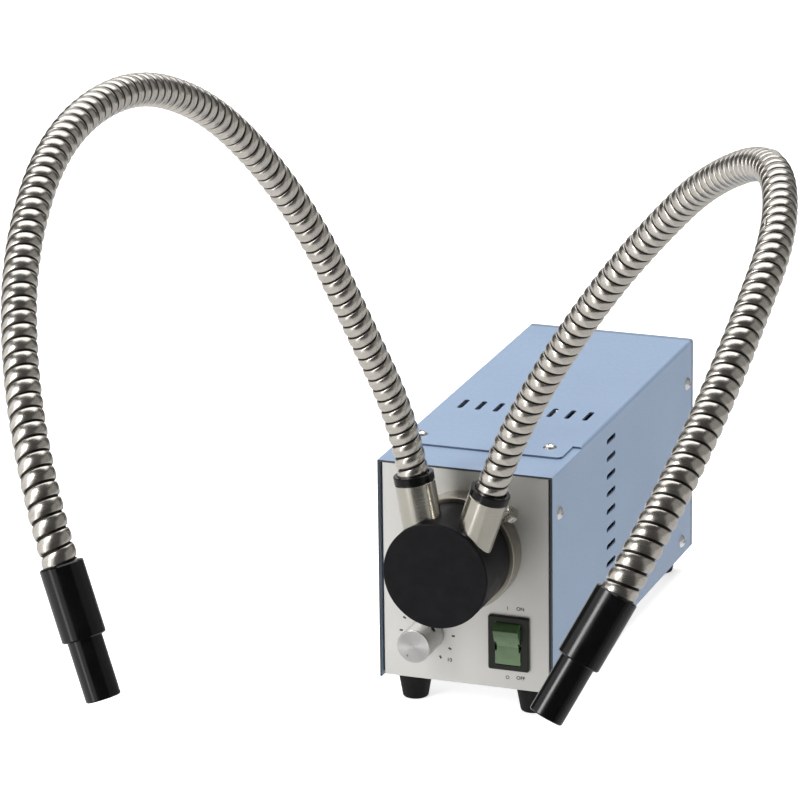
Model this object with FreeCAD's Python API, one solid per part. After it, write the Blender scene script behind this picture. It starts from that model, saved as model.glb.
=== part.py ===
import FreeCAD, Part
import math
import os

# Fibre optic illuminator with a two-arm gooseneck light guide. Millimetres, +Z up.
# Origin: centre of the case's footprint on the bench. The front panel faces -Y.

V = FreeCAD.Vector
os.makedirs("parts", exist_ok=True)

# ---------------------------------------------------------------- driving dimensions
CASE_W = 106.0          # case width, X
CASE_D = 275.0          # case depth, Y, front edge of the side sheets to the rear face
CASE_H = 134.3          # case height without feet
GAP = 15.0              # bench to the case's bottom edge
SHEET = 1.2             # cover sheet thickness
FLOOR_T = 1.5           # chassis floor thickness
FOLD_R = 2.0            # outside radius of the cover's folds
STRIP_D = 32.0          # depth of the strip in front of the cover's top lip
SLIT_D = 54.0           # depth where the right-hand relief slit ends
LIP_X = 47.5            # right-hand edge of the cover's top tongue
LIP_R = 3.5             # radius of the tongue's corner
REAR_T = 5.0            # depth of the rear tray's rim
VENT_W, VENT_L, VENT_N = 3.3, 16.5, 8
VENT_PITCH_TOP, VENT_PITCH_SIDE = 11.1, 10.95
VENT_Y = -28.4          # centre of all the vent slots
VENT_Z_TOP = 137.0      # highest side slot
FOOT_X, FOOT_Y1, FOOT_Y2 = 36.3, -123.0, 124.5
FOOT_R1, FOOT_R2 = 10.3, 7.4

HEAD_Z = 100.3          # height of the light path's axis
COLLAR_R, COLLAR_OUT = 34.0, 13.0
HEAD_R = 31.3           # light guide head
BORE_R = 31.35          # collar bore: 0.05 mm radial clearance
HEAD_FRONT = -188.5     # Y of the head's front face
THUMB_ANG, THUMB_Y = 40.3, -143.0

KNOB_X, KNOB_Z, KNOB_R, KNOB_FRONT = -23.9, 44.8, 10.0, -160.1
SW_X, SW_Z, SW_W, SW_H = 26.3, 44.8, 24.6, 33.0
ROCK = 12.0             # the rocker's tilt either side of its middle, degrees

FERRULE_R = 11.5
HOSE_R, HOSE_BORE = 9.0, 7.5
FIBRE_R = 4.5
TIP_R1, TIP_L1 = 10.9, 36.9
TIP_R2, TIP_L2 = 8.65, 30.3

FAN = 80.0
FAN_Z = 104.8
INLET_X, INLET_Z = -22.0, 38.5
FUSE_X, FUSE_Z = 32.0, 38.5

# Route points of the two arms, from the ferrule's ball joint to the tip's top.
LEFT = [(-17.0, -174.5, 153.4), (-22.9, -174.5, 186.6), (-39.7, -202.0, 251.3), (-55.3, -223.7, 307.1),
        (-71.7, -259.1, 358.3), (-85.2, -309.9, 401.1), (-92.4, -388.4, 429.5), (-95.9, -472.3, 423.1),
        (-84.0, -546.6, 387.0), (-62.8, -599.0, 339.7), (-34.2, -639.8, 289.7), (-23.5, -644.0, 262.2)]
RIGHT = [(28.3, -174.5, 148.2), (37.3, -174.5, 174.4), (65.3, -181.1, 226.5), (101.7, -195.2, 279.8),
         (136.4, -211.0, 321.4), (176.3, -243.3, 362.7), (233.9, -320.8, 400.1), (258.9, -392.5, 385.2),
         (261.5, -463.4, 355.1), (256.2, -518.4, 318.0), (243.8, -568.5, 276.1), (232.9, -579.1, 253.8)]
HINGE_RUNS = (5, 9)     # the crown's and the tip's joints lie at the middle of these runs

# ---------------------------------------------------------------- derived planes
ZB = GAP                              # bottom edge of the case
ZT = GAP + CASE_H                     # top of the case
YF = -CASE_D / 2                      # front edge
YR = CASE_D / 2                       # rear face
YC = YR - REAR_T                      # rear edge of the cover
HW = CASE_W / 2
IW = HW - SHEET                       # inside half width
ZI = ZT - SHEET                       # underside of the cover's top
ZF0 = ZB + SHEET                      # underside of the chassis floor
ZF1 = ZF0 + FLOOR_T
PANEL_Y0, PANEL_Y1 = YF + 1.0, YF + 3.0   # front panel's front and rear faces
WEB_Y1 = PANEL_Y1 + SHEET             # rear face of the frame's web


def box(x0, x1, y0, y1, z0, z1):
    return Part.makeBox(x1 - x0, y1 - y0, z1 - z0, V(x0, y0, z0))


def cyl(p, d, r, h):
    return Part.makeCylinder(r, h, V(*p), V(*d))


def cyl_y(x, z, r, y0, y1):
    return Part.makeCylinder(r, y1 - y0, V(x, y0, z), V(0, 1, 0))


def ring_y(x, z, ro, ri, y0, y1):
    return cyl_y(x, z, ro, y0, y1).cut(cyl_y(x, z, ri, y0 - 1, y1 + 1))


def fuse(items):
    s = items[0]
    for o in items[1:]:
        s = s.fuse(o)
    return s.removeSplitter()


def fillet_where(shape, r, test):
    edges = [e for e in shape.Edges if test(e)]
    return shape.makeFillet(r, edges) if edges else shape


def chamfer_where(shape, r, test):
    edges = [e for e in shape.Edges if test(e)]
    return shape.makeChamfer(r, edges) if edges else shape


def round_box(x0, x1, y0, y1, z0, z1, r, axis="Y"):
    s = box(x0, x1, y0, y1, z0, z1)
    i = "XYZ".index(axis)

    def along(e):
        a, b = e.Vertexes[0].Point, e.Vertexes[-1].Point
        d = b - a
        return abs(abs(d[i]) - d.Length) < 1e-6 and d.Length > 0

    return fillet_where(s, r, along)


def slot_solid(cx, cy, cz, length, width, run, through, depth):
    """A rounded slot: run is the long direction, through the direction that it's cut."""
    h = (length - width) / 2
    c = V(cx, cy, cz)
    r, t = V(*run), V(*through)
    o = r.cross(t)
    a, b = c - r * h, c + r * h
    base = t * (-depth / 2)
    parts = [Part.makeCylinder(width / 2, depth, p + base, t) for p in (a, b)]
    q = [a + o * (width / 2), b + o * (width / 2), b - o * (width / 2), a - o * (width / 2)]
    poly = Part.makePolygon([p + base for p in q + [q[0]]])
    parts.append(Part.Face(Part.Wire(poly.Edges)).extrude(t * depth))
    return fuse(parts)


def screw(p, d, r_head=4.0, h_head=2.3, r_shank=1.95, length=7.0, cross=True, seat=0.0):
    """A pan head screw: p is the centre of the seat, d points out of the head."""
    d = V(*d).normalize()
    p = V(*p)
    rs = (r_head ** 2 + h_head ** 2) / (2 * h_head)
    ball = Part.makeSphere(rs, p + d * (h_head - rs))
    head = Part.makeCylinder(r_head, h_head, p, d).common(ball)
    s = head.fuse(Part.makeCylinder(r_shank, length, p - d * length, d)).removeSplitter()
    if cross:
        u = V(0, 0, 1) if abs(d.z) < 0.9 else V(1, 0, 0)
        u = (u - d * u.dot(d)).normalize()
        w = d.cross(u)
        for a, b in ((u, w), (w, u)):
            q = p + d * (h_head * 0.35)
            pts = [q + a * (r_head * .55) + b * 0.42, q - a * (r_head * .55) + b * 0.42,
                   q - a * (r_head * .55) - b * 0.42, q + a * (r_head * .55) - b * 0.42]
            f = Part.Face(Part.makePolygon(pts + [pts[0]]))
            s = s.cut(f.extrude(d * h_head))
    return s


nodes = {}


def put(name, *solids):
    shapes = []
    for s in solids:
        shapes += s.Solids
    nodes[name] = shapes


# ================================================================ case
# Cover: top and two sides of one folded sheet, with the relief at the front.
cover_out = fillet_where(box(-HW, HW, YF, YC, ZB, ZT), FOLD_R,
                         lambda e: abs(e.CenterOfMass.z - ZT) < 1e-6 and abs(abs(e.CenterOfMass.x) - HW) < 1e-6)
cover_in = fillet_where(box(-IW, IW, YF - 5, YC + 5, ZB - 5, ZI), FOLD_R - SHEET,
                        lambda e: abs(e.CenterOfMass.z - ZI) < 1e-6 and abs(abs(e.CenterOfMass.x) - IW) < 1e-6)
cover = cover_out.cut(cover_in)
lip_y = YF + STRIP_D
notch = box(-HW - 5, LIP_X, YF - 5, lip_y, ZI, ZT + 5)
notch = notch.fuse(box(LIP_X, HW + 5, YF - 5, YF + SLIT_D, ZI, ZT + 5))
corner = box(LIP_X - LIP_R, LIP_X, lip_y, lip_y + LIP_R, ZI, ZT + 5).cut(
    Part.makeCylinder(LIP_R, 30, V(LIP_X - LIP_R, lip_y + LIP_R, ZI - 10)))
cover = cover.cut(notch).cut(corner)
for i in range(VENT_N):
    x = (i - (VENT_N - 1) / 2) * VENT_PITCH_TOP
    cover = cover.cut(slot_solid(x, VENT_Y, ZI + SHEET / 2, VENT_L, VENT_W, (0, 1, 0), (0, 0, 1), 6))
    z = VENT_Z_TOP - i * VENT_PITCH_SIDE
    for sx in (-1, 1):
        cover = cover.cut(slot_solid(sx * (IW + SHEET / 2), VENT_Y, z, VENT_L, VENT_W, (0, 1, 0), (1, 0, 0), 6))
TOP_SCREWS = [(-43.5, -89.5), (35.5, -89.5)]
SIDE_SCREWS = [(-125.0, 123.0), (-125.0, 25.0), (124.5, 124.0), (114.5, 24.5)]
screws = []
for x, y in TOP_SCREWS:
    cover = cover.cut(cyl((x, y, ZI - 3), (0, 0, 1), 2.0, 8))
    screws.append(screw((x, y, ZT), (0, 0, 1)))
for y, z in SIDE_SCREWS:
    for sx in (-1, 1):
        cover = cover.cut(cyl((sx * (IW - 3), y, z), (sx, 0, 0), 2.0, 8))
        screws.append(screw((sx * HW, y, z), (sx, 0, 0)))
put("cover", cover)
put("cover_screws", *screws)

# Front frame: strip in front of the cover's lip, web behind the panel, side tabs.
strip = fillet_where(box(-IW + .1, IW - .1, YF, YF + 60, ZI - SHEET, ZI), FOLD_R - SHEET,
                     lambda e: abs(e.CenterOfMass.z - ZI) < 1e-6 and abs(e.CenterOfMass.x) > IW - .2)
frame = fuse([strip, box(-IW + .1, IW - .1, PANEL_Y1, WEB_Y1, ZF1, ZI - SHEET),
              box(-IW + .1, -IW + .1 + SHEET, WEB_Y1, -117, ZF1, ZI - SHEET),
              box(IW - .1 - SHEET, IW - .1, WEB_Y1, -117, ZF1, ZI - SHEET)])
panel = box(-HW + 2.6, HW - 2.6, PANEL_Y0, PANEL_Y1, ZF0 + .1, ZI - SHEET - .1)
panel = fillet_where(panel, 0.5, lambda e: abs(e.CenterOfMass.y - PANEL_Y0) < 1e-6)
tube_r = 33.4                         # collar's tail through the panel and web
for c in (cyl_y(0, HEAD_Z, tube_r, YF - 5, -120), cyl_y(KNOB_X, KNOB_Z, 4.6, YF - 5, -120),
          box(SW_X - 10.9, SW_X + 10.9, YF - 5, -120, SW_Z - 14.9, SW_Z + 14.9)):
    frame = frame.cut(c)
    panel = panel.cut(c)
for x, y in TOP_SCREWS:
    frame = frame.cut(cyl((x, y, ZI - 6), (0, 0, 1), 2.0, 9))
for y, z in SIDE_SCREWS[:2]:
    for sx in (-1, 1):
        frame = frame.cut(cyl((sx * (IW - 4), y, z), (sx, 0, 0), 2.0, 8))
put("front_frame", frame)
put("front_panel", panel)

# Chassis: floor with side and rear flanges.
chassis = fuse([box(-IW + .1, IW - .1, PANEL_Y1, YR - FLOOR_T, ZF0, ZF1),
                box(-IW + .1, -IW + .1 + FLOOR_T, -116.9, YR - FLOOR_T - .1, ZF1, 34),
                box(IW - .1 - FLOOR_T, IW - .1, -116.9, YR - FLOOR_T - .1, ZF1, 34),
                box(-IW + .1, IW - .1, YR - 2 * FLOOR_T, YR - FLOOR_T, ZF1, 24)])
for sx in (-1, 1):
    chassis = chassis.cut(cyl((sx * (IW - 5), SIDE_SCREWS[3][0], SIDE_SCREWS[3][1]), (sx, 0, 0), 2.0, 9))

# Rear tray: plate with a forward rim and side tabs.
rear = fillet_where(box(-HW, HW, YC, YR, ZB, ZT), FOLD_R,
                    lambda e: abs(e.CenterOfMass.z - ZT) < 1e-6 and abs(abs(e.CenterOfMass.x) - HW) < 1e-6)
rear = fillet_where(rear, 0.8, lambda e: abs(e.CenterOfMass.y - YR) < 1e-6)
rear = rear.cut(box(-IW, IW, YC - 1, YR - FLOOR_T, ZB - 1, ZI))
tabs = [box(sx * (IW - .1) - (SHEET if sx > 0 else 0), sx * (IW - .1) + (0 if sx > 0 else SHEET),
            115, YC, 112, 134) for sx in (-1, 1)]
tabs += [box(sx * (IW - .65) - .65, sx * (IW - .65) + .65, YC, YR - FLOOR_T, 112, 134) for sx in (-1, 1)]
rear = fuse([rear] + tabs)
for sx in (-1, 1):
    rear = rear.cut(cyl((sx * (IW - 5), SIDE_SCREWS[2][0], SIDE_SCREWS[2][1]), (sx, 0, 0), 2.0, 9))
rear = rear.cut(cyl_y(0, FAN_Z, 38.0, YR - 5, YR + 5))
rear = rear.cut(round_box(INLET_X - 13.8, INLET_X + 13.8, YR - 5, YR + 5, INLET_Z - 10, INLET_Z + 10, 2.0))
rear = rear.cut(cyl_y(FUSE_X, FUSE_Z, 6.2, YR - 5, YR + 5))

# Feet on the floor, each with a screw from below into the floor.
feet, foot_screws = [], []
for x in (-FOOT_X, FOOT_X):
    for y in (FOOT_Y1, FOOT_Y2):
        f = Part.makeCone(FOOT_R2, FOOT_R1, ZF0, V(x, y, 0))
        f = fillet_where(f, 1.2, lambda e: e.CenterOfMass.z < 0.01 and e.Length < 2 * math.pi * 8)
        f = f.cut(cyl((x, y, -1), (0, 0, 1), 4.2, 7)).cut(cyl((x, y, -1), (0, 0, 1), 2.0, 30))
        feet.append(f)
        chassis = chassis.cut(cyl((x, y, ZF0 - 1), (0, 0, 1), 2.0, 5))
        foot_screws.append(screw((x, y, 6.0), (0, 0, -1), 3.8, 2.2, 1.95, 14.0))
put("feet", *feet)
put("foot_screws", *foot_screws)

# ================================================================ collar and thumb screw
collar_y0 = PANEL_Y0 - COLLAR_OUT
collar = ring_y(0, HEAD_Z, COLLAR_R, BORE_R, collar_y0, PANEL_Y0)
collar = collar.fuse(ring_y(0, HEAD_Z, tube_r, BORE_R, PANEL_Y0, -119.0))
collar = collar.fuse(ring_y(0, HEAD_Z, tube_r, 24.0, -119.0, -116.5)).removeSplitter()
collar = fillet_where(collar, 0.7, lambda e: abs(e.CenterOfMass.y - collar_y0) < 1e-6 and e.Length > 2 * math.pi * 33)
ta = math.radians(THUMB_ANG)
td = V(math.cos(ta), 0, math.sin(ta))
tc = V(0, THUMB_Y, HEAD_Z)
collar = collar.cut(Part.makeCylinder(2.05, 8, tc + td * 30, td))
put("socket_collar", collar)
put("collar_ring_nut", ring_y(0, HEAD_Z, 38.5, tube_r, WEB_Y1, WEB_Y1 + 4.5))
thumb = Part.makeCylinder(4.6, 5.0, tc + td * 36.4, td)
thumb = chamfer_where(thumb, 0.5, lambda e: e.Length > 2 * math.pi * 4)
for k in range(18):
    a = 2 * math.pi * k / 18
    u = V(0, 1, 0)
    w = td.cross(u)
    c = tc + td * 36 + (u * math.cos(a) + w * math.sin(a)) * 4.85
    thumb = thumb.cut(Part.makeCylinder(0.45, 7, c, td))
thumb = thumb.fuse(Part.makeCylinder(2.0, 5.0, tc + td * 31.6, td)).removeSplitter()
put("thumb_screw", thumb)

# ================================================================ knob and potentiometer
kf = KNOB_FRONT
knob = cyl_y(KNOB_X, KNOB_Z, KNOB_R, kf, PANEL_Y0 - 1.2)
knob = fillet_where(knob, 0.6, lambda e: abs(e.CenterOfMass.y - kf) < 1e-6)
knob = knob.cut(cyl_y(KNOB_X, KNOB_Z, 7.4, PANEL_Y0 - 5.2, PANEL_Y0))
knob = knob.cut(cyl_y(KNOB_X, KNOB_Z, 3.0, kf + 4, PANEL_Y0))
# pointer dimple on the face, at the lower left when the knob rests at its minimum
pa = math.radians(240)
knob = knob.cut(cyl_y(KNOB_X + 6.6 * math.cos(pa), KNOB_Z + 6.6 * math.sin(pa), 0.8, kf - 1, kf + 0.7))
sd = V(math.cos(math.radians(43)), 0, math.sin(math.radians(43)))
sc = V(KNOB_X, YF - 9.0, KNOB_Z)
knob = knob.cut(Part.makeCylinder(1.75, 12, sc + sd * 2.0, sd))
put("dimmer_knob", knob)
grub = Part.makeCylinder(1.75, 5.0, sc + sd * 3.0, sd)
hexa = Part.makePolygon([sc + sd * 6.2 + (V(0, 1, 0) * math.cos(a) + sd.cross(V(0, 1, 0)) * math.sin(a)) * 0.9
                         for a in [math.pi / 3 * i for i in range(7)]])
grub = grub.cut(Part.Face(hexa).extrude(sd * 3))
put("knob_set_screw", grub)
put("potentiometer_shaft", cyl_y(KNOB_X, KNOB_Z, 3.0, kf + 4.2, WEB_Y1 + 6))
pot = fuse([cyl_y(KNOB_X, KNOB_Z, 8.2, WEB_Y1, WEB_Y1 + 10), cyl_y(KNOB_X, KNOB_Z, 4.6, PANEL_Y0 - 3.4, WEB_Y1),
            box(KNOB_X - 6.5, KNOB_X + 6.5, WEB_Y1 + 2, WEB_Y1 + 3.4, KNOB_Z - 15, KNOB_Z - 6)])
pot = pot.cut(cyl_y(KNOB_X, KNOB_Z, 3.05, PANEL_Y0 - 5, WEB_Y1 + 6.2))
hexn = Part.makePolygon([V(KNOB_X + 6.3 * math.cos(a), PANEL_Y0 - 2.4, KNOB_Z + 6.3 * math.sin(a))
                         for a in [math.pi / 3 * i for i in range(7)]])
nut = Part.Face(hexn).extrude(V(0, 2.4, 0)).cut(cyl_y(KNOB_X, KNOB_Z, 4.6, PANEL_Y0 - 5, PANEL_Y0 + 1))
put("potentiometer", pot, nut)

# ================================================================ rocker switch
sy0 = PANEL_Y0 - 2.4
bez = round_box(SW_X - SW_W / 2, SW_X + SW_W / 2, sy0, PANEL_Y0, SW_Z - SW_H / 2, SW_Z + SW_H / 2, 1.2)
bez = chamfer_where(bez, 0.6, lambda e: abs(e.CenterOfMass.y - sy0) < 1e-6)
rk_w, rk_h = 15.2, 25.4               # rocker's width and its window's height
bez = bez.fuse(box(SW_X - 10.9, SW_X + 10.9, PANEL_Y0, PANEL_Y0 + 21, SW_Z - 14.9, SW_Z + 14.9)).removeSplitter()
bez = bez.cut(box(SW_X - rk_w / 2 - .35, SW_X + rk_w / 2 + .35, sy0 - 1, PANEL_Y0 + 13.5,
                  SW_Z - rk_h / 2 - .5, SW_Z + rk_h / 2 + .5))
bez = bez.cut(box(SW_X - rk_w / 2 - .35, SW_X + rk_w / 2 + .35, sy0 + .8, PANEL_Y0 + 13.5,
                  SW_Z - 14.35, SW_Z + 14.35))     # room for the rocker's round ends
for sx in (-1, 1):                    # small ears at mid height
    x0, x1 = sorted((SW_X + sx * (rk_w / 2 - .7), SW_X + sx * (rk_w / 2 + .6)))
    bez = bez.fuse(box(x0, x1, sy0, sy0 + 3.5, SW_Z - .8, SW_Z + .8))
ry = PANEL_Y0 + 3.5                   # pivot's Y
bez = bez.removeSplitter().cut(cyl((SW_X - 9.4, ry, SW_Z), (1, 0, 0), 1.26, 18.8))
put("switch_housing", bez)
tabs = []
for dz in (-9, 0, 9):
    tabs.append(box(SW_X - 2.4, SW_X + 2.4, PANEL_Y0 + 21, PANEL_Y0 + 31, SW_Z + dz - .4, SW_Z + dz + .4))
put("switch_terminals", *tabs)
# Rocker, drawn about its pivot: the upper end stands out, the lower end is pressed in.
# The ends are round about the pivot, so they fill the window as it tilts.
ends = [(-14.1 * math.cos(math.radians(q)), 14.1 * math.sin(math.radians(q))) for q in (86.0, 74.4, 62.8, 51.2)]
pts = ends + [(-8.4, 7.0), (-6.6, 0.0), (-8.4, -7.0)] + [(a, -b) for a, b in ends[::-1]] + \
      [(3.0, -5.0), (6.0, 0.0), (3.0, 5.0)]
prof = Part.makePolygon([V(0, a, b) for a, b in pts + [pts[0]]])
rock = Part.Face(prof).extrude(V(rk_w, 0, 0))
rock = fillet_where(rock, 0.8, lambda e: e.CenterOfMass.y < -8.7 and abs(abs(e.CenterOfMass.z) - 10.99) < .1 and e.Length > 10)
rock.translate(V(-rk_w / 2, 0, 0))
for sx in (-1, 1):                    # notches that clear the ears
    rock = rock.cut(box(*sorted((sx * (rk_w / 2 - 1.1), sx * 20)), -20, 1, -3.0, 3.0))
rock = rock.fuse(cyl((-9.2, 0, 0), (1, 0, 0), 1.2, 18.4)).removeSplitter()   # pivot pins
rock.rotate(V(0, 0, 0), V(1, 0, 0), ROCK)
rock.translate(V(SW_X, ry, SW_Z))
put("switch_rocker", rock)

# ================================================================ light guide head
shell = cyl_y(0, HEAD_Z, HEAD_R, HEAD_FRONT, -122.0)
shell = fillet_where(shell, 1.0, lambda e: abs(e.CenterOfMass.y - HEAD_FRONT) < 1e-6)
shell = shell.cut(cyl_y(0, HEAD_Z, 28.3, HEAD_FRONT + 2.3, -121))
plug = cyl_y(0, HEAD_Z, 28.3, -131.0, -122.0).cut(cyl_y(0, HEAD_Z, 8.0, -135, -115))
put("head_plug", plug)
inp = ring_y(0, HEAD_Z, 8.0, 6.0, -146.0, -111.0)
inp = chamfer_where(inp, 0.5, lambda e: abs(e.CenterOfMass.y + 111.0) < 1e-6 and e.Length > 2 * math.pi * 7)
put("input_ferrule", inp)

trunk = [cyl_y(0, HEAD_Z, 6.0, -156.0, -111.2), Part.makeSphere(6.0, V(0, -156.0, HEAD_Z))]
rings = []
for name, route in (("left", LEFT), ("right", RIGHT)):
    c0, c1 = V(*route[0]), V(*route[1])
    d = (c1 - c0).normalize()
    fer = Part.makeCylinder(FERRULE_R, 37.5, c0 - d * 40.0, d)
    shell = shell.cut(Part.makeCylinder(FERRULE_R, 60.0, c0 - d * 41.0, d).cut(box(-60, 60, -200, HEAD_FRONT + 2.3, 0, 300)))
    fer = fer.cut(Part.makeCylinder(FIBRE_R, 40, c0 - d * 41.0, d)).cut(Part.makeSphere(HOSE_R, c0))
    fer = chamfer_where(fer, 0.5, lambda e: (e.CenterOfMass - (c0 - d * 2.5)).Length < .6 and e.Length > 2 * math.pi * 11)
    put(name + "_ferrule", fer)
    rg = Part.makeCylinder(FERRULE_R + .15, 4.7, c0 - d * 2.5, d).cut(Part.makeCylinder(HOSE_R + .35, 8, c0 - d * 4, d))
    rg = chamfer_where(rg, 0.35, lambda e: e.Length > 2 * math.pi * 11)
    rings.append(rg)
    a, b = V(0, -156.0, HEAD_Z), c0 - d * 46.0
    trunk.append(Part.makeCylinder(FIBRE_R - .1, (b - a).Length, a, b - a))
    trunk.append(Part.makeSphere(FIBRE_R - .1, b))
    trunk.append(Part.makeCylinder(FIBRE_R - .1, 46.0 - 9.4, b, d))
put("head_shell", shell)
put("ferrule_rings", *rings)
tr = trunk[0]
for o in trunk[1:]:
    tr = tr.fuse(o)
put("fibre_trunk", tr)


# ================================================================ arms
def rounded_path(points, trims, frac=0.45):
    """Straight runs joined by tangent arcs. trims: run number -> longest tangent length on that run."""
    P = [V(*p) for p in points]
    edges, start, radii = [], P[0], []
    for i in range(1, len(P) - 1):
        a, b = (P[i - 1] - P[i]), (P[i + 1] - P[i])
        la, lb = a.Length, b.Length
        a.normalize()
        b.normalize()
        t = min(frac * la * (2 if i == 1 else 1), frac * lb * (2 if i == len(P) - 2 else 1),
                trims.get(i - 1, 1e9), trims.get(i, 1e9))
        half = (math.pi - a.getAngle(b)) / 2
        if half < 1e-4:
            continue
        r = t / math.tan(half)
        radii.append(round(r))
        p, q = P[i] + a * t, P[i] + b * t
        bis = (a + b).normalize()
        centre = P[i] + bis * math.hypot(r, t)
        mid = centre - bis * r
        if (p - start).Length > 1e-6:
            edges.append(Part.LineSegment(start, p).toShape())
        edges.append(Part.Arc(p, mid, q).toShape())
        start = q
    edges.append(Part.LineSegment(start, P[-1]).toShape())
    return Part.Wire(edges), radii


def pipe(wire, r):
    e = wire.Edges[0]
    p, d = e.valueAt(e.FirstParameter), e.tangentAt(e.FirstParameter)
    c = Part.Wire([Part.makeCircle(r, p, d)])
    s = wire.makePipeShell([c], True, True)
    want = math.pi * r * r * wire.Length
    if abs(s.Volume - want) > 0.01 * want:
        print("sweep volume is off", s.Volume, want)
    return s


for name, route in (("left", LEFT), ("right", RIGHT)):
    R = [V(*p) for p in route]
    mids = {k: (R[k] + R[k + 1]) * 0.5 for k in HINGE_RUNS}
    dirs = {k: (R[k + 1] - R[k]).normalize() for k in HINGE_RUNS}
    d0 = (R[1] - R[0]).normalize()
    de = (R[-1] - R[-2]).normalize()
    k1, k2 = HINGE_RUNS
    ends = [(R[0], d0), (mids[k1], dirs[k1]), (mids[k2], dirs[k2]), (R[-1], de)]
    spans = [R[1:k1 + 1], R[k1 + 1:k2 + 1], R[k2 + 1:-1]]
    for n in range(3):
        (ca, da), (cb, db) = ends[n], ends[n + 1]
        last = n == 2
        a0 = ca + da * (10.5 if n == 0 else -1.0)            # tube's first rim
        b0 = cb + (db * 8.0 if last else db * -6.0)           # tube's last rim
        pts = [a0] + spans[n] + [b0]
        trims = {0: 16.0 if n == 0 else 20.0, len(pts) - 2: 24.0 if last else 20.0}
        wire, radii = rounded_path([tuple(p) for p in pts], trims)
        print(name, "hose", n + 1, "length", round(wire.Length, 1), "arc radii", radii)
        outer = pipe(wire, HOSE_R)
        inner_pts = [ca + da * (9.0 if n == 0 else -3.0)] + spans[n] + [b0 + db * (3.0 if last else -3.0)]
        if n == 0:
            inner_pts[0] = ca + da * 13.5
        iw, _ = rounded_path([tuple(p) for p in inner_pts], {0: (13.0 if n == 0 else 20.0), len(pts) - 2: 24.0 if last else 20.0})
        tube = outer.cut(pipe(iw, HOSE_BORE))
        if n == 0:      # ball and neck in the ferrule's seat
            tube = fuse([tube, Part.makeSphere(8.9, ca), Part.makeCylinder(6.0, 11.0, ca, da)])
        if not last:    # ball and neck carried for the next length of hose
            tube = fuse([tube, Part.makeSphere(7.4, cb), Part.makeCylinder(4.0, 7.0, cb - db * 7.0, db)])
        put("%s_hose_%d" % (name, n + 1), tube)
        # fibre bundle inside this length
        f0 = ca + da * (13.5 if n == 0 else 9.5)
        f1 = cb + (db * (TIP_L1 + TIP_L2 - 2.0) if last else db * -9.0)
        fpts = [f0] + spans[n] + [f1]
        fw, _ = rounded_path([tuple(p) for p in fpts], {0: (12.9 if n == 0 else 12.0), len(fpts) - 2: 24.0 if last else 16.0})
        put("%s_fibres_%d" % (name, n + 1), pipe(fw, FIBRE_R))
    e = R[-1]
    sleeve = Part.makeCylinder(TIP_R1, TIP_L1, e, de)
    sleeve = chamfer_where(sleeve, 0.7, lambda g: g.Length > 2 * math.pi * 10)
    sleeve = sleeve.cut(Part.makeCylinder(HOSE_R, 9.0, e - de, de)).cut(Part.makeCylinder(FIBRE_R, 60, e - de, de))
    sleeve = sleeve.cut(Part.makeCylinder(7.0, 10.0, e + de * (TIP_L1 - 8.0), de))
    put(name + "_tip_sleeve", sleeve)
    n0 = e + de * TIP_L1
    noz = Part.makeCylinder(TIP_R2, TIP_L2, n0, de)
    noz = chamfer_where(noz, 0.6, lambda g: (g.CenterOfMass - (n0 + de * TIP_L2)).Length < .1)
    noz = noz.fuse(Part.makeCylinder(7.0, 8.0, n0 - de * 8.0, de)).removeSplitter()
    noz = noz.cut(Part.makeCylinder(FIBRE_R, 60, n0 - de * 9.0, de))
    noz = noz.cut(Part.makeCone(FIBRE_R, 6.6, 3.0, n0 + de * (TIP_L2 - 2.5), de))
    put(name + "_tip_nozzle", noz)

# ================================================================ fan
fh = FAN / 2
fy0, fy1 = YR - FLOOR_T - 25.0, YR - FLOOR_T
fan = round_box(-fh, fh, fy0, fy1, FAN_Z - fh, FAN_Z + fh, 3.0)
fan = fan.cut(cyl_y(0, FAN_Z, 38.0, fy0 - 1, fy1 + 1))
spokes = [cyl_y(0, FAN_Z, 17.0, fy0, fy0 + 2.5)]
for k in range(4):
    a = math.radians(45 + 90 * k + 12)
    s = Part.makeBox(24.0, 2.5, 3.6, V(15.0, fy0, -1.8))
    s.rotate(V(0, 0, 0), V(0, 1, 0), math.degrees(a))
    s.translate(V(0, 0, FAN_Z))
    spokes.append(s.common(cyl_y(0, FAN_Z, 38.6, fy0, fy0 + 2.5)))
fan = fuse([fan] + spokes)
holes = [(sx * 35.75, FAN_Z + sz * 35.75) for sx in (-1, 1) for sz in (-1, 1)]
rear_screws = []
for x, z in holes:
    fan = fan.cut(cyl_y(x, z, 2.0, fy0 - 1, fy1 + 1))
    rear = rear.cut(cyl_y(x, z, 2.0, YR - 5, YR + 5))
put("fan_frame", fan.cut(cyl_y(0, FAN_Z, 1.55, fy0 - 1, fy0 + 5)))
hub = cyl_y(0, FAN_Z, 16.5, fy0 + 3.2, fy1 - 1.0)
hub = fillet_where(hub, 1.5, lambda e: abs(e.CenterOfMass.y - (fy1 - 1.0)) < 1e-6)
hub = hub.fuse(cyl_y(0, FAN_Z, 1.5, fy0 + 0.3, fy0 + 4))
blades = [hub]
for k in range(7):
    # a pitched blade: thin slab turned about its own radius
    b = Part.makeBox(21.0, 20.0, 1.5, V(15.5, -10.0, -0.75))
    b.rotate(V(0, 0, 0), V(1, 0, 0), 42)
    b.rotate(V(0, 0, 0), V(0, 1, 0), 360.0 / 7 * k)
    b.translate(V(0, (fy0 + fy1) / 2 + 1.2, FAN_Z))
    blades.append(b.common(cyl_y(0, FAN_Z, 36.6, fy0 + 3.4, fy1 - 1.2)))
put("fan_rotor", fuse(blades))

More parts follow.
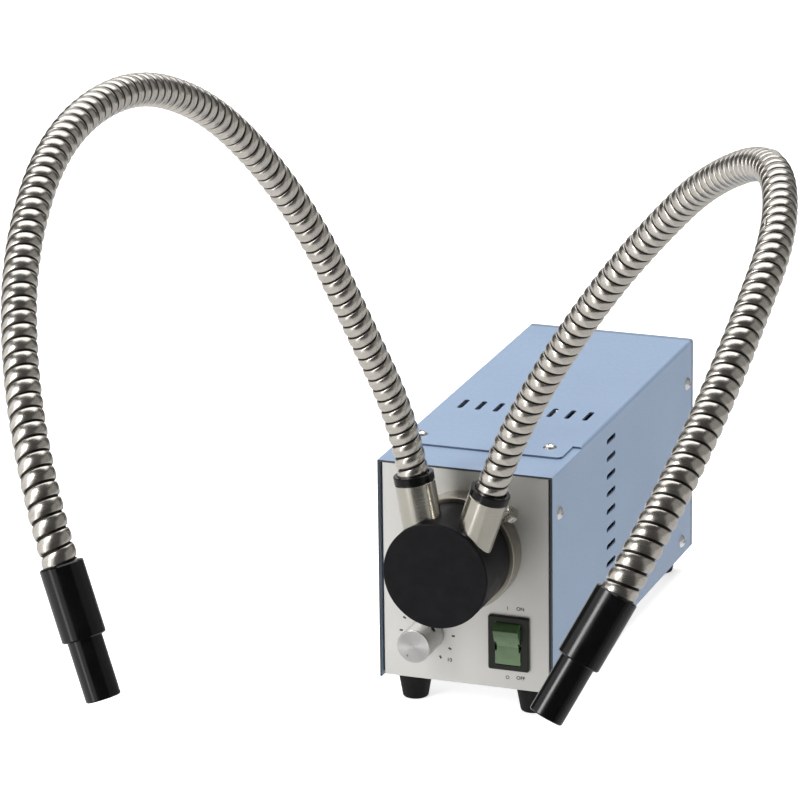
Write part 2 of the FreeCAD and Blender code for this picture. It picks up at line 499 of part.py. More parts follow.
# Finger guard: wire rings on four arms that end in eyelets.
wire_r = 0.9
gy = YR + 2.7
guard = []
for r in (9.0, 17.5, 26.0, 34.5):
    t = Part.makeTorus(r, wire_r, V(0, gy, FAN_Z), V(0, 1, 0))
    guard.append(t)
for x, z in holes:
    dx, dz = x / 35.75, z - FAN_Z
    dz = dz / 35.75
    u = V(dx, 0, dz).normalize()
    p0, p1 = V(0, gy - 1.6, FAN_Z) + u * 8.0, V(0, gy - 1.6, FAN_Z) + u * 46.4
    guard.append(Part.makeCylinder(wire_r, (p1 - p0).Length, p0, u))
    guard.append(ring_y(x, z, 4.6, 2.3, YR, YR + 1.8))
    rear_screws.append(screw((x, YR + 1.8, z), (0, 1, 0), 3.8, 2.2, 1.95, 12.0))
g = guard[0]
for o in guard[1:]:
    g = g.fuse(o)
put("fan_guard", g)

# ================================================================ mains inlet and fuse
inlet = round_box(INLET_X - 25, INLET_X + 25, YR, YR + 3.0, INLET_Z - 11.5, INLET_Z + 11.5, 6.0)
inlet = inlet.fuse(round_box(INLET_X - 13.6, INLET_X + 13.6, YR - 18.0, YR, INLET_Z - 9.8, INLET_Z + 9.8, 2.0)).removeSplitter()
cav = Part.makePolygon([V(INLET_X + x, YR + 4, INLET_Z + z) for x, z in
                        ((-12.0, -8.1), (12.0, -8.1), (12.0, 3.6), (7.2, 8.1), (-7.2, 8.1), (-12.0, 3.6), (-12.0, -8.1))])
inlet = inlet.cut(Part.Face(cav).extrude(V(0, -19.5, 0)))
for sx in (-1, 1):
    inlet = inlet.cut(cyl_y(INLET_X + sx * 20, INLET_Z, 1.75, YR - 1, YR + 5))
    rear = rear.cut(cyl_y(INLET_X + sx * 20, INLET_Z, 1.75, YR - 5, YR + 5))
    rear_screws.append(screw((INLET_X + sx * 20, YR + 3.0, INLET_Z), (0, 1, 0), 3.2, 1.9, 1.7, 9.0))
pins = []
for x, z in ((-7.0, -2.0), (7.0, -2.0), (0, 2.0)):
    p = box(INLET_X + x - 1.0, INLET_X + x + 1.0, YR - 24.0, YR - 1.0, INLET_Z + z - 2.0, INLET_Z + z + 2.0)
    inlet = inlet.cut(p)
    pins.append(p)
put("power_inlet", inlet)
put("inlet_pins", *pins)
fb = fuse([cyl_y(FUSE_X, FUSE_Z, 6.2, YR - 28.0, YR), cyl_y(FUSE_X, FUSE_Z, 8.2, YR, YR + 1.6),
           cyl_y(FUSE_X, FUSE_Z, 8.4, YR - FLOOR_T - 3.5, YR - FLOOR_T)])
fb = fb.cut(cyl_y(FUSE_X, FUSE_Z, 4.36, YR - 24.0, YR + 5))
put("fuse_holder", fb)
cap = fuse([cyl_y(FUSE_X, FUSE_Z, 4.3, YR - 8.0, YR + 1.65), cyl_y(FUSE_X, FUSE_Z, 7.0, YR + 1.65, YR + 8.5)])
cap = fillet_where(cap, 0.8, lambda e: abs(e.CenterOfMass.y - (YR + 8.5)) < 1e-6)
cap = cap.cut(box(FUSE_X - 0.7, FUSE_X + 0.7, YR + 7.3, YR + 9, FUSE_Z - 5.5, FUSE_Z + 5.5))
put("fuse_cap", cap)
put("rear_panel", rear)
put("rear_screws", *rear_screws)

# ================================================================ transformer
ty0, ty1 = 38.0, 83.0
core = box(-48, 48, ty0, ty1, ZF1, ZF1 + 80)
for sx in (-1, 1):
    core = core.cut(box(min(sx * 16, sx * 32), max(sx * 16, sx * 32), ty0 - 1, ty1 + 1, ZF1 + 16, ZF1 + 64))
core_holes = [(sx * 42.0, ZF1 + z) for sx in (-1, 1) for z in (7.0, 73.0)]
bolts = []
for x, z in core_holes:
    core = core.cut(cyl_y(x, z, 2.5, ty0 - 1, ty1 + 1))
    hx = Part.makePolygon([V(x + 4.6 * math.cos(a), ty0 - 3.4, z + 4.6 * math.sin(a)) for a in [math.pi / 3 * i for i in range(7)]])
    bolts.append(Part.Face(hx).extrude(V(0, 3.4, 0)).fuse(cyl_y(x, z, 2.4, ty0 - 1, ty1 + 5)).removeSplitter())
put("transformer_core", core)
coil = round_box(-31.5, 31.5, ty0 - 11, ty1 + 11, ZF1 + 16.5, ZF1 + 63.5, 7.0, "Z")
coil = coil.cut(box(-16, 16, ty0, ty1, ZF1, ZF1 + 90))
coil = coil.cut(box(-60, -16, ty0, ty1, ZF1, ZF1 + 16.5)).cut(box(16, 60, ty0, ty1, ZF1, ZF1 + 16.5))
put("transformer_coil", coil)
put("transformer_bolts", *bolts)

# ================================================================ control board
bz = ZF1 + 8.0
board = box(-38, 38, -104, -14, bz, bz + 1.6)
stand = []
for x in (-33, 33):
    for y in (-99, -19):
        board = board.cut(cyl((x, y, bz - 1), (0, 0, 1), 1.6, 4))
        s = cyl((x, y, ZF1), (0, 0, 1), 3.0, bz - ZF1).fuse(cyl((x, y, bz), (0, 0, 1), 1.6, 1.6))
        s = s.fuse(cyl((x, y, bz + 1.6), (0, 0, 1), 2.8, 1.6)).removeSplitter()
        stand.append(s)
put("control_board", board)
put("board_standoffs", *stand)
bt = bz + 1.6
sink = box(-30, 30, -58, -44, bt, bt + 22)
for k in range(6):
    sink = sink.cut(box(-27 + k * 9.6, -21 + k * 9.6, -59, -49, bt + 3, bt + 23))
comp = [sink,cyl((-24, -86, bt), (0, 0, 1), 8, 20), cyl((-4, -88, bt), (0, 0, 1), 6.3, 16),
        box(12, 32, -96, -80, bt, bt + 15), box(-32, -12, -34, -24, bt, bt + 11),
        box(2, 30, -36, -22, bt, bt + 12), cyl((20, -70, bt), (0, 0, 1), 5, 9), cyl((-2, -70, bt), (0, 0, 1), 4, 8)]
put("board_components", *comp)

# ================================================================ lamp
ly = -84.0                            # plane of the lamp's rim
brk = box(-44, 44, ly - 1.6, ly, 62, 138).cut(cyl_y(0, HEAD_Z, 21.5, ly - 5, ly + 5))
for sx in (-1, 1):
    brk = brk.fuse(box(min(sx * 44, sx * 41), max(sx * 44, sx * 41), ly - 1.6, ly, ZF1, 62))
    brk = brk.fuse(box(min(sx * 44, sx * 41), max(sx * 44, sx * 41), ly, ly + 12, ZF1, ZF1 + 1.6))
brk = brk.removeSplitter()
put("lamp_bracket", brk)
prof_o = [(25.3, ly), (25.3, ly + 4.0), (23.6, ly + 9.0), (20.5, ly + 16.0), (15.6, ly + 23.5), (10.5, ly + 28.0), (9.0, ly + 31.0), (9.0, ly + 40.0)]
prof_i = [(5.0, ly + 40.0), (5.0, ly + 31.0), (8.5, ly + 26.5), (13.6, ly + 22.0), (18.6, ly + 15.0), (21.8, ly + 8.4), (23.3, ly + 3.6), (23.3, ly)]
pr = Part.makePolygon([V(x, y, 0) for x, y in prof_o + prof_i + [prof_o[0]]])
refl = Part.Face(pr).revolve(V(0, 0, 0), V(0, 1, 0), 360)
refl.translate(V(0, 0, HEAD_Z))
put("lamp_reflector", refl)
caps = fuse([cyl_y(0, HEAD_Z, 4.6, ly + 20.0, ly + 40.0), Part.makeSphere(4.6, V(0, ly + 20.0, HEAD_Z))])
put("lamp_capsule", caps)
sock = box(-10, 10, ly + 40.0, ly + 56.0, HEAD_Z - 8, HEAD_Z + 8)
sock = fillet_where(sock, 2.0, lambda e: abs(e.CenterOfMass.y - (ly + 48)) < 1e-6)
put("lamp_socket", sock)
put("heat_filter", box(-23, 23, ly - 4.8, ly - 1.6, HEAD_Z - 23, HEAD_Z + 23))

put("base_chassis", chassis)

# ================================================================ write
total = 0
for name, solids in nodes.items():
    for s in solids:
        if not s.isValid() or s.Volume <= 0:
            print("BAD SOLID", name, s.isValid(), s.Volume)
    shape = solids[0] if len(solids) == 1 else Part.makeCompound(solids)
    shape.exportStep("parts/" + name + ".step")
    total += 1
print(total, "nodes written")
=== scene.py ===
import math

import bmesh
import bpy
import numpy as np
from mathutils import Matrix, Vector


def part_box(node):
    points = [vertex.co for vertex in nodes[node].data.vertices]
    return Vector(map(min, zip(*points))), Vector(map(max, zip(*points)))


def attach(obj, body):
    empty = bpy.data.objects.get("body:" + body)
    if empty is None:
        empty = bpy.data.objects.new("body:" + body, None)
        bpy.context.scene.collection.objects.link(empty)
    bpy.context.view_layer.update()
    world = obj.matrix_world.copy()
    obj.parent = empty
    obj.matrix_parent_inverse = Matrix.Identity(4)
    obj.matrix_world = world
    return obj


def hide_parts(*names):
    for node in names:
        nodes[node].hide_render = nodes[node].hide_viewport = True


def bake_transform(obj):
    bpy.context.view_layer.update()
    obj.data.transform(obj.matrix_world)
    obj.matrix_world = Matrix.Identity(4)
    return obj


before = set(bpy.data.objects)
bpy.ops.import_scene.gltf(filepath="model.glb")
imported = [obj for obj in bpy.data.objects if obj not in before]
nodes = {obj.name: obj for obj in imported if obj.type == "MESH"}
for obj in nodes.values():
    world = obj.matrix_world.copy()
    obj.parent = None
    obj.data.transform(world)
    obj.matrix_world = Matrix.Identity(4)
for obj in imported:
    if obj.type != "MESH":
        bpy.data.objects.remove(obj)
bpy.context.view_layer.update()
scene = bpy.context.scene
MM = 0.001

# ---------------------------------------------------------------- camera
RIGHT_AXIS = Vector((0.938995, 0.343710, -0.012313))
UP_AXIS = Vector((-0.095472, 0.294885, 0.950750))
BACK_AXIS = Vector((0.330414, -0.891574, 0.309710))
CAM_AT = Vector((904.2, -2681.2, 1069.1)) * MM
cam_data = bpy.data.cameras.new("camera")
cam_data.lens = 224.93
cam_data.sensor_width = 36.0
cam_data.clip_start, cam_data.clip_end = 0.1, 60.0
cam = bpy.data.objects.new("camera", cam_data)
scene.collection.objects.link(cam)
cam.matrix_world = Matrix((
    (RIGHT_AXIS.x, UP_AXIS.x, BACK_AXIS.x, CAM_AT.x),
    (RIGHT_AXIS.y, UP_AXIS.y, BACK_AXIS.y, CAM_AT.y),
    (RIGHT_AXIS.z, UP_AXIS.z, BACK_AXIS.z, CAM_AT.z),
    (0, 0, 0, 1)))
scene.camera = cam

# ---------------------------------------------------------------- material helpers
SOCKET = {
    "color": "Base Color", "metal": "Metallic", "rough": "Roughness", "ior": "IOR", "spec": "Specular IOR Level",
    "coat": "Coat Weight", "coat_rough": "Coat Roughness", "aniso": "Anisotropic", "aniso_rot": "Anisotropic Rotation",
    "trans": "Transmission Weight", "sss": "Subsurface Weight", "sss_scale": "Subsurface Scale", "alpha": "Alpha",
    "sheen": "Sheen Weight", "sheen_rough": "Sheen Roughness", "spec_tint": "Specular Tint",
}


class Mat:
    """A node material around one Principled shader."""

    def __init__(self, name, **values):
        self.mat = bpy.data.materials.new(name)
        self.mat.use_nodes = True
        self.tree = self.mat.node_tree
        self.tree.nodes.clear()
        self.out = self.node("ShaderNodeOutputMaterial")
        self.bsdf = self.node("ShaderNodeBsdfPrincipled")
        self.tree.links.new(self.bsdf.outputs[0], self.out.inputs["Surface"])
        self.coord = self.node("ShaderNodeTexCoord")
        for k, v in values.items():
            if k in ("color", "spec_tint"):
                v = (*v, 1.0)
            self.bsdf.inputs[SOCKET[k]].default_value = v
        self.color = values.get("color", (0.5, 0.5, 0.5))
        self.mat.diffuse_color = (*self.color, 1.0)

    def node(self, kind, **props):
        n = self.tree.nodes.new(kind)
        for k, v in props.items():
            setattr(n, k, v)
        return n

    def feed(self, socket, value):
        if isinstance(value, bpy.types.NodeSocket):
            self.tree.links.new(value, socket)
        elif isinstance(value, (tuple, list)) and len(value) == 3 and socket.type == "RGBA":
            socket.default_value = (*value, 1.0)
        else:
            socket.default_value = value

    def vec(self, scale=(1, 1, 1), rot=(0, 0, 0), loc=(0, 0, 0), source="Object"):
        m = self.node("ShaderNodeMapping")
        self.tree.links.new(self.coord.outputs[source], m.inputs["Vector"])
        m.inputs["Scale"].default_value = scale
        m.inputs["Rotation"].default_value = rot
        m.inputs["Location"].default_value = loc
        return m.outputs[0]

    def noise(self, scale, detail=2.0, rough=0.5, vector=None, distortion=0.0):
        n = self.node("ShaderNodeTexNoise")
        self.tree.links.new(vector or self.coord.outputs["Object"], n.inputs["Vector"])
        n.inputs["Scale"].default_value = scale
        n.inputs["Detail"].default_value = detail
        n.inputs["Roughness"].default_value = rough
        n.inputs["Distortion"].default_value = distortion
        return n.outputs[0]

    def voronoi(self, scale, feature="F1", vector=None, out="Distance", random=1.0):
        n = self.node("ShaderNodeTexVoronoi", feature=feature)
        self.tree.links.new(vector or self.coord.outputs["Object"], n.inputs["Vector"])
        n.inputs["Scale"].default_value = scale
        n.inputs["Randomness"].default_value = random
        return n.outputs[out]

    def wave(self, scale, kind="BANDS", direction="X", profile="SIN", distortion=0.0, vector=None, detail=2.0, dscale=1.0):
        n = self.node("ShaderNodeTexWave", wave_type=kind, wave_profile=profile)
        if kind == "BANDS":
            n.bands_direction = direction
        else:
            n.rings_direction = direction
        self.tree.links.new(vector or self.coord.outputs["Object"], n.inputs["Vector"])
        n.inputs["Scale"].default_value = scale
        n.inputs["Distortion"].default_value = distortion
        n.inputs["Detail"].default_value = detail
        n.inputs["Detail Scale"].default_value = dscale
        return n.outputs["Fac"] if "Fac" in n.outputs else n.outputs[1]

    def ramp(self, fac, stops, interpolation="LINEAR"):
        n = self.node("ShaderNodeValToRGB")
        n.color_ramp.interpolation = interpolation
        self.tree.links.new(fac, n.inputs[0])
        els = n.color_ramp.elements
        while len(els) < len(stops):
            els.new(0.5)
        for e, (pos, col) in zip(els, stops):
            e.position = pos
        for e, (pos, col) in zip(els, stops):
            e.position = pos
            e.color = (*col, 1.0) if isinstance(col, (tuple, list)) else (col, col, col, 1.0)
        return n.outputs[0]

    def remap(self, value, a, b, c, d, smooth=False):
        n = self.node("ShaderNodeMapRange")
        if smooth:
            n.interpolation_type = "SMOOTHSTEP"
        self.tree.links.new(value, n.inputs[0])
        for i, v in enumerate((a, b, c, d), 1):
            n.inputs[i].default_value = v
        return n.outputs[0]

    def mix(self, fac, a, b, blend="MIX"):
        n = self.node("ShaderNodeMix", data_type="RGBA", blend_type=blend)
        self.feed(n.inputs[0], fac)
        self.feed(n.inputs[6], a)
        self.feed(n.inputs[7], b)
        return n.outputs[2]

    def math(self, op, a, b=0.0):
        n = self.node("ShaderNodeMath", operation=op)
        self.feed(n.inputs[0], a)
        self.feed(n.inputs[1], b)
        return n.outputs[0]

    def split(self, vector=None, source="Object"):
        n = self.node("ShaderNodeSeparateXYZ")
        self.tree.links.new(vector or self.coord.outputs[source], n.inputs[0])
        return n.outputs

    def bump(self, height, strength, distance, normal=None):
        n = self.node("ShaderNodeBump")
        n.inputs["Strength"].default_value = strength
        n.inputs["Distance"].default_value = distance
        self.tree.links.new(height, n.inputs["Height"])
        if normal is not None:
            self.tree.links.new(normal, n.inputs["Normal"])
        self.tree.links.new(n.outputs[0], self.bsdf.inputs["Normal"])
        return n.outputs[0]

    def put(self, name, value):
        self.feed(self.bsdf.inputs[SOCKET[name]], value)

    def vary(self, amount=0.06, coarse=30.0, fine=900.0, fine_amount=0.03, base=None):
        """Colour with a slow drift and a fine speckle."""
        c = base or self.color
        lo = tuple(x * (1 - amount) for x in c)
        hi = tuple(min(1.0, x * (1 + amount)) for x in c)
        slow = self.mix(self.remap(self.noise(coarse, 2), 0.3, 0.7, 0, 1), lo, hi)
        speck = self.ramp(self.noise(fine, 2), [(0.35, 1 - fine_amount), (0.65, 1 + 0 * fine_amount)])
        return self.mix(1.0, slow, speck, "MULTIPLY")


def powder_paint(name, color, rough=0.42):
    """Fine textured powder coat: small rounded grain, slow colour drift, a little dust in the grain."""
    m = Mat(name, color=color, rough=rough, spec=0.42)
    grain = m.noise(1500.0, 3, 0.6)
    peel = m.noise(420.0, 2, 0.5)
    m.put("color", m.vary(0.035, 14.0, 1400.0, 0.06))
    m.put("rough", m.remap(m.noise(700.0, 3), 0.3, 0.7, rough - 0.06, rough + 0.08))
    n1 = m.bump(grain, 0.35, 0.00004)
    m.bump(peel, 0.25, 0.00006, n1)
    return m.mat


def satin_metal(name, color, rough=0.3, grain=(1, 1, 1), grain_scale=3000.0, aniso=0.0, strength=0.12, drift=0.05, metal=1.0):
    """Satin plated or brushed metal; grain stretches the micro-scratches along an axis."""
    m = Mat(name, color=color, metal=metal, rough=rough, aniso=aniso)
    v = m.vec(scale=grain)
    scratch = m.noise(grain_scale, 2, 0.6, v)
    cloud = m.noise(45.0, 3, 0.55)
    m.put("color", m.vary(drift, 35.0, 1200.0, 0.04))
    r = m.math("ADD", m.remap(scratch, 0.3, 0.7, rough - 0.05, rough + 0.06), m.remap(cloud, 0.3, 0.7, -0.03, 0.03))
    m.put("rough", r)
    m.bump(scratch, strength, 0.00002)
    return m.mat


def plastic(name, color, rough=0.4, grain=1800.0, strength=0.2, spec=0.5, drift=0.05):
    """Moulded plastic with a fine eroded texture and faint flow marks."""
    m = Mat(name, color=color, rough=rough, spec=spec)
    tex = m.voronoi(grain, "SMOOTH_F1")
    flow = m.noise(60.0, 3, 0.5, m.vec(scale=(1, 1, 0.3)))
    m.put("color", m.vary(drift, 40.0, 1500.0, 0.08))
    m.put("rough", m.math("ADD", m.remap(tex, 0.0, 0.6, rough - 0.05, rough + 0.05), m.remap(flow, 0.3, 0.7, -0.03, 0.03)))
    m.bump(tex, strength, 0.00003)
    return m.mat


# ---------------------------------------------------------------- materials
BLUE = (0.234, 0.316, 0.448)


def sheet_paint():
    """Fine textured powder coat on the cover and its frame. Faces that look to the front are coloured as shade: near
    black at the very front as a painted shadow of the gap round the panel, and a deeper blue further back as painted
    shade.
    """
    m = Mat("sheet_paint", color=BLUE, rough=0.40, spec=0.42)
    grain = m.noise(1500.0, 3, 0.6)
    geo = m.node("ShaderNodeNewGeometry")
    _, ny, nz = m.split(geo.outputs["True Normal"])
    # Painted shade: front-facing faces are coloured near black at the sheet's front (a painted shadow in the gap round
    # the panel) and a deeper blue behind it.
    facing = m.math("ADD", ny, m.math("MULTIPLY", m.math("MAXIMUM", nz, 0.0), 0.9))
    front = m.remap(facing, -0.10, -0.35, 0.0, 1.0)
    edge = m.mix(m.remap(m.noise(800.0, 3), 0.3, 0.7, 0, 1), (0.026, 0.030, 0.032), (0.046, 0.051, 0.054))
    painted = m.mix(m.remap(m.split()[1], -0.134, -0.130, 0.0, 1.0), edge, (0.085, 0.115, 0.180))
    m.put("color", m.mix(front, m.vary(0.035, 14.0, 1400.0, 0.06), painted))
    m.put("rough", m.remap(m.noise(700.0, 3), 0.3, 0.7, 0.34, 0.48))
    n1 = m.bump(grain, 0.35, 0.00004)
    m.bump(m.noise(420.0, 2, 0.5), 0.25, 0.00006, n1)
    return m.mat


sheet_blue = sheet_paint()
rear_paint = powder_paint("rear_paint", (0.160, 0.215, 0.300), 0.45)


def panel_material():
    m = Mat("panel_silver", color=(0.67, 0.665, 0.642), metal=0.72, rough=0.42, spec=0.5)
    v = m.vec(scale=(1.0, 1.0, 0.06))
    brush = m.noise(2600.0, 2, 0.6, v)
    pearl = m.noise(5200.0, 2, 0.5)
    # Painted shade: the panel's colour turns darker towards its right side and its top.
    upper_right_shade = m.remap(m.math("ADD", m.split(v)[0], m.math("MULTIPLY", m.split()[2], 0.35)), -0.02, 0.08, 0.0, 1.0)
    m.put("color", m.mix(upper_right_shade, m.vary(0.02, 18.0, 1700.0, 0.03), m.vary(0.03, 18.0, 1700.0, 0.03, (0.47, 0.465, 0.445))))
    m.put("rough", m.math("ADD", m.remap(brush, 0.3, 0.7, 0.38, 0.46), m.remap(m.noise(16.0, 2), 0.3, 0.7, -0.02, 0.02)))
    n1 = m.bump(brush, 0.06, 0.00002)
    m.bump(pearl, 0.12, 0.00001, n1)
    return m.mat


panel_silver = panel_material()


def nickel_turned(name, axis, color=(0.70, 0.675, 0.62), rough=0.2, lay=1):
    """Turned and nickel plated: fine tool marks run round the axis."""
    m = Mat(name, color=color, metal=1.0, rough=rough)
    a = Vector(axis).normalized()
    d = m.node("ShaderNodeVectorMath", operation="DOT_PRODUCT")
    m.tree.links.new(m.coord.outputs["Object"], d.inputs[0])
    d.inputs[1].default_value = a
    along = d.outputs["Value"]
    n = m.node("ShaderNodeTexNoise", noise_dimensions="1D")
    m.tree.links.new(along, n.inputs["W"])
    n.inputs["Scale"].default_value = 5200.0
    n.inputs["Detail"].default_value = 3.0
    marks = n.outputs[0]
    smudge = m.noise(55.0, 4, 0.6)
    m.put("color", m.vary(0.05, 60.0, 1500.0, 0.03))
    m.put("rough", m.math("ADD", m.remap(marks, 0.3, 0.7, rough - 0.04, rough + 0.06), m.remap(smudge, 0.35, 0.75, -0.03, 0.07)))
    m.bump(marks, 0.10 * lay, 0.00002)
    return m.mat


def hose_material():
    """Bright interlocked strip: marks run along the strip, the grooves are painted nearly black, partly for grease and
    partly as painted shade.
    """
    m = Mat("hose_stainless", color=(0.68, 0.655, 0.605), metal=1.0, rough=0.2)
    uv = m.split(source="UV")
    phase = m.math("FRACT", uv[1])
    strip = m.node("ShaderNodeCombineXYZ")
    m.feed(strip.inputs[0], m.math("MULTIPLY", uv[0], 9.0))
    m.feed(strip.inputs[1], m.math("MULTIPLY", uv[1], 60.0))
    lines = m.noise(1.0, 3, 0.65, strip.outputs[0])
    strip2 = m.node("ShaderNodeCombineXYZ")
    m.feed(strip2.inputs[0], m.math("MULTIPLY", uv[0], 3.0))
    m.feed(strip2.inputs[1], uv[1])
    blotch = m.noise(2.2, 3, 0.6, strip2.outputs[0])
    # The groove colour is nearly black: grease in the groove, and painted shade in the recess.
    groove = m.ramp(phase, [(0.0, 1.0), (0.072, 1.0), (0.108, 0.0), (0.907, 0.0), (0.943, 1.0)])
    tone = m.mix(m.remap(blotch, 0.3, 0.7, 0, 1), (0.57, 0.54, 0.49), (0.73, 0.70, 0.655))
    tone = m.mix(m.remap(lines, 0.3, 0.7, 0.0, 0.38), tone, (0.40, 0.375, 0.335))
    m.put("color", m.mix(m.math("MULTIPLY", groove, 0.96), tone, (0.016, 0.0145, 0.013)))
    rough = m.math("ADD", m.remap(lines, 0.3, 0.7, 0.21, 0.30), m.remap(blotch, 0.3, 0.7, -0.03, 0.05))
    m.put("rough", m.math("ADD", rough, m.math("MULTIPLY", groove, 0.3)))
    m.bump(lines, 0.10, 0.00004)
    return m.mat


hose_steel = hose_material()


def black_anodised(name, rough=0.3, color=(0.010, 0.0098, 0.011), spec=0.5, axis=None, strength=0.06):
    """Black anodised turning with faint tool marks and rubbed patches."""
    m = Mat(name, color=color, rough=rough, spec=spec)
    if axis is not None:
        d = m.node("ShaderNodeVectorMath", operation="DOT_PRODUCT")
        m.tree.links.new(m.coord.outputs["Object"], d.inputs[0])
        d.inputs[1].default_value = Vector(axis).normalized()
        n = m.node("ShaderNodeTexNoise", noise_dimensions="1D")
        m.tree.links.new(d.outputs["Value"], n.inputs["W"])
        n.inputs["Scale"].default_value = 3600.0
        n.inputs["Detail"].default_value = 2.0
        marks = n.outputs[0]
    else:
        marks = m.noise(3200.0, 2, 0.6)
    rub = m.noise(70.0, 4, 0.65)
    lo = tuple(c * 0.85 for c in color)
    hi = tuple(c * 1.6 for c in color)
    m.put("color", m.mix(m.remap(rub, 0.4, 0.75, 0, 1), lo, hi))
    m.put("rough", m.math("ADD", m.remap(marks, 0.3, 0.7, rough - 0.03, rough + 0.05), m.remap(rub, 0.3, 0.7, -0.04, 0.05)))
    m.bump(marks, strength, 0.00002)
    return m.mat


def head_material():
    """Black painted head: a fine orange peel, and dust that lightens it slightly."""
    m = Mat("head_black", color=(0.0052, 0.0048, 0.0060), rough=0.42, spec=0.11)
    peel = m.noise(900.0, 2, 0.5)
    dust = m.noise(110.0, 5, 0.7)
    speck = m.ramp(m.voronoi(520.0, random=1.0), [(0.0, 0.05), (0.045, 0.02), (0.07, 0.0)])
    base = m.mix(m.remap(dust, 0.4, 0.8, 0, 1), (0.0046, 0.0042, 0.0054), (0.0085, 0.0080, 0.0092))
    m.put("color", m.mix(speck, base, (0.05, 0.05, 0.05)))
    m.put("rough", m.remap(dust, 0.3, 0.7, 0.36, 0.48))
    m.bump(peel, 0.15, 0.00004)
    return m.mat


head_black = head_material()


def knob_material():
    """Turned aluminium: rings on the face give the bow-tie glint, the barrel is brushed round."""
    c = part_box("dimmer_knob")
    cx, cz = (c[0].x + c[1].x) / 2, (c[0].z + c[1].z) / 2
    m = Mat("knob_spun_aluminium", color=(0.53, 0.53, 0.525), metal=1.0, rough=0.24, aniso=0.85)
    t = m.node("ShaderNodeTangent", direction_type="RADIAL", axis="Y")
    m.tree.links.new(t.outputs[0], m.bsdf.inputs["Tangent"])
    v = m.vec(loc=(-cx, 0, -cz))
    x, _, z = m.split(v)
    rad = m.math("SQRT", m.math("ADD", m.math("MULTIPLY", x, x), m.math("MULTIPLY", z, z)))
    n = m.node("ShaderNodeTexNoise", noise_dimensions="1D")
    m.tree.links.new(rad, n.inputs["W"])
    n.inputs["Scale"].default_value = 6500.0
    n.inputs["Detail"].default_value = 3.0
    rings = n.outputs[0]
    m.put("color", m.vary(0.02, 60.0, 2500.0, 0.03))
    m.put("rough", m.remap(rings, 0.3, 0.7, 0.23, 0.33))
    m.bump(rings, 0.08, 0.00002)
    return m.mat


def rubber_material():
    m = Mat("rubber_black", color=(0.007, 0.007, 0.0073), rough=0.62, spec=0.16)
    fine = m.noise(1300.0, 3, 0.6)
    dust = m.noise(130.0, 5, 0.7)
    m.put("color", m.mix(m.remap(dust, 0.45, 0.8, 0, 1), (0.0040, 0.0040, 0.0043), (0.012, 0.0115, 0.011)))
    m.put("rough", m.remap(dust, 0.3, 0.7, 0.52, 0.72))
    m.bump(fine, 0.3, 0.00005)
    return m.mat


def rocker_material():
    """Translucent green rocker with a soft glow inside and a polished skin; its colour is painted deeper at the top as
    painted shade and lighter at the bottom as a painted sheen.
    """
    m = Mat("rocker_green", color=(0.07, 0.15, 0.055), rough=0.3, spec=0.5, sss=0.3, sss_scale=0.003, coat=0.5, coat_rough=0.12)
    m.bsdf.inputs["Subsurface Radius"].default_value = (0.4, 1.0, 0.35)
    cloud = m.noise(180.0, 3, 0.5)
    tex = m.noise(2400.0, 2, 0.5)
    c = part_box("switch_rocker")
    # Painted shade and sheen: the green is painted deeper towards the top and lighter towards the bottom.
    shade_to_sheen = m.remap(m.split(m.vec())[2], c[1].z - 0.004, c[0].z + 0.010, 0.0, 1.0)
    shaded_top_green = m.mix(m.remap(cloud, 0.3, 0.7, 0, 1), (0.026, 0.066, 0.018), (0.036, 0.080, 0.026))
    sheen_lower_green = m.mix(m.remap(cloud, 0.3, 0.7, 0, 1), (0.078, 0.142, 0.060), (0.100, 0.170, 0.080))
    m.put("color", m.mix(shade_to_sheen, shaded_top_green, sheen_lower_green))
    m.put("rough", m.remap(tex, 0.3, 0.7, 0.26, 0.36))
    m.bump(tex, 0.1, 0.00002)
    return m.mat


def zinc_material():
    m = Mat("zinc_steel", color=(0.56, 0.57, 0.58), metal=1.0, rough=0.38)
    spangle = m.voronoi(220.0, "F1", out="Color")
    bw = m.node("ShaderNodeRGBToBW")
    m.tree.links.new(spangle, bw.inputs[0])
    m.put("color", m.mix(bw.outputs[0], (0.46, 0.47, 0.49), (0.62, 0.63, 0.64)))
    m.put("rough", m.remap(bw.outputs[0], 0, 1, 0.30, 0.46))
    m.bump(m.noise(1500.0, 3), 0.1, 0.00003)
    return m.mat


def core_material():
    """Stacked iron sheets, seen as fine lines across the stack, with varnish."""
    m = Mat("iron_core", color=(0.13, 0.125, 0.12), metal=0.7, rough=0.5)
    y = m.split()[1]
    lam = m.math("FRACT", m.math("MULTIPLY", y, 2000.0))
    edge = m.ramp(lam, [(0.0, 0.0), (0.12, 1.0), (0.88, 1.0), (1.0, 0.0)])
    var = m.noise(90.0, 4, 0.6)
    tone = m.mix(m.remap(var, 0.3, 0.7, 0, 1), (0.10, 0.095, 0.09), (0.19, 0.18, 0.17))
    m.put("color", m.mix(m.remap(edge, 0, 1, 0.7, 0.0), tone, (0.02, 0.018, 0.016)))
    m.put("rough", m.remap(var, 0.3, 0.7, 0.4, 0.6))
    m.bump(edge, 0.5, 0.00008)
    return m.mat


def coil_material():
    """Yellow tape over the winding, wrapped in overlapping turns."""
    m = Mat("coil_tape", color=(0.72, 0.52, 0.10), rough=0.35, spec=0.5)
    z = m.split()[2]
    lap = m.math("FRACT", m.math("MULTIPLY", z, 95.0))
    step = m.ramp(lap, [(0.0, 0.0), (0.06, 1.0), (1.0, 0.8)])
    crease = m.noise(260.0, 4, 0.6, m.vec(scale=(0.3, 0.3, 1)))
    m.put("color", m.mix(m.remap(crease, 0.3, 0.7, 0, 1), (0.62, 0.43, 0.07), (0.80, 0.60, 0.16)))
    m.put("rough", m.remap(crease, 0.3, 0.7, 0.25, 0.45))
    n1 = m.bump(step, 0.6, 0.00012)
    m.bump(crease, 0.2, 0.0001, n1)
    return m.mat


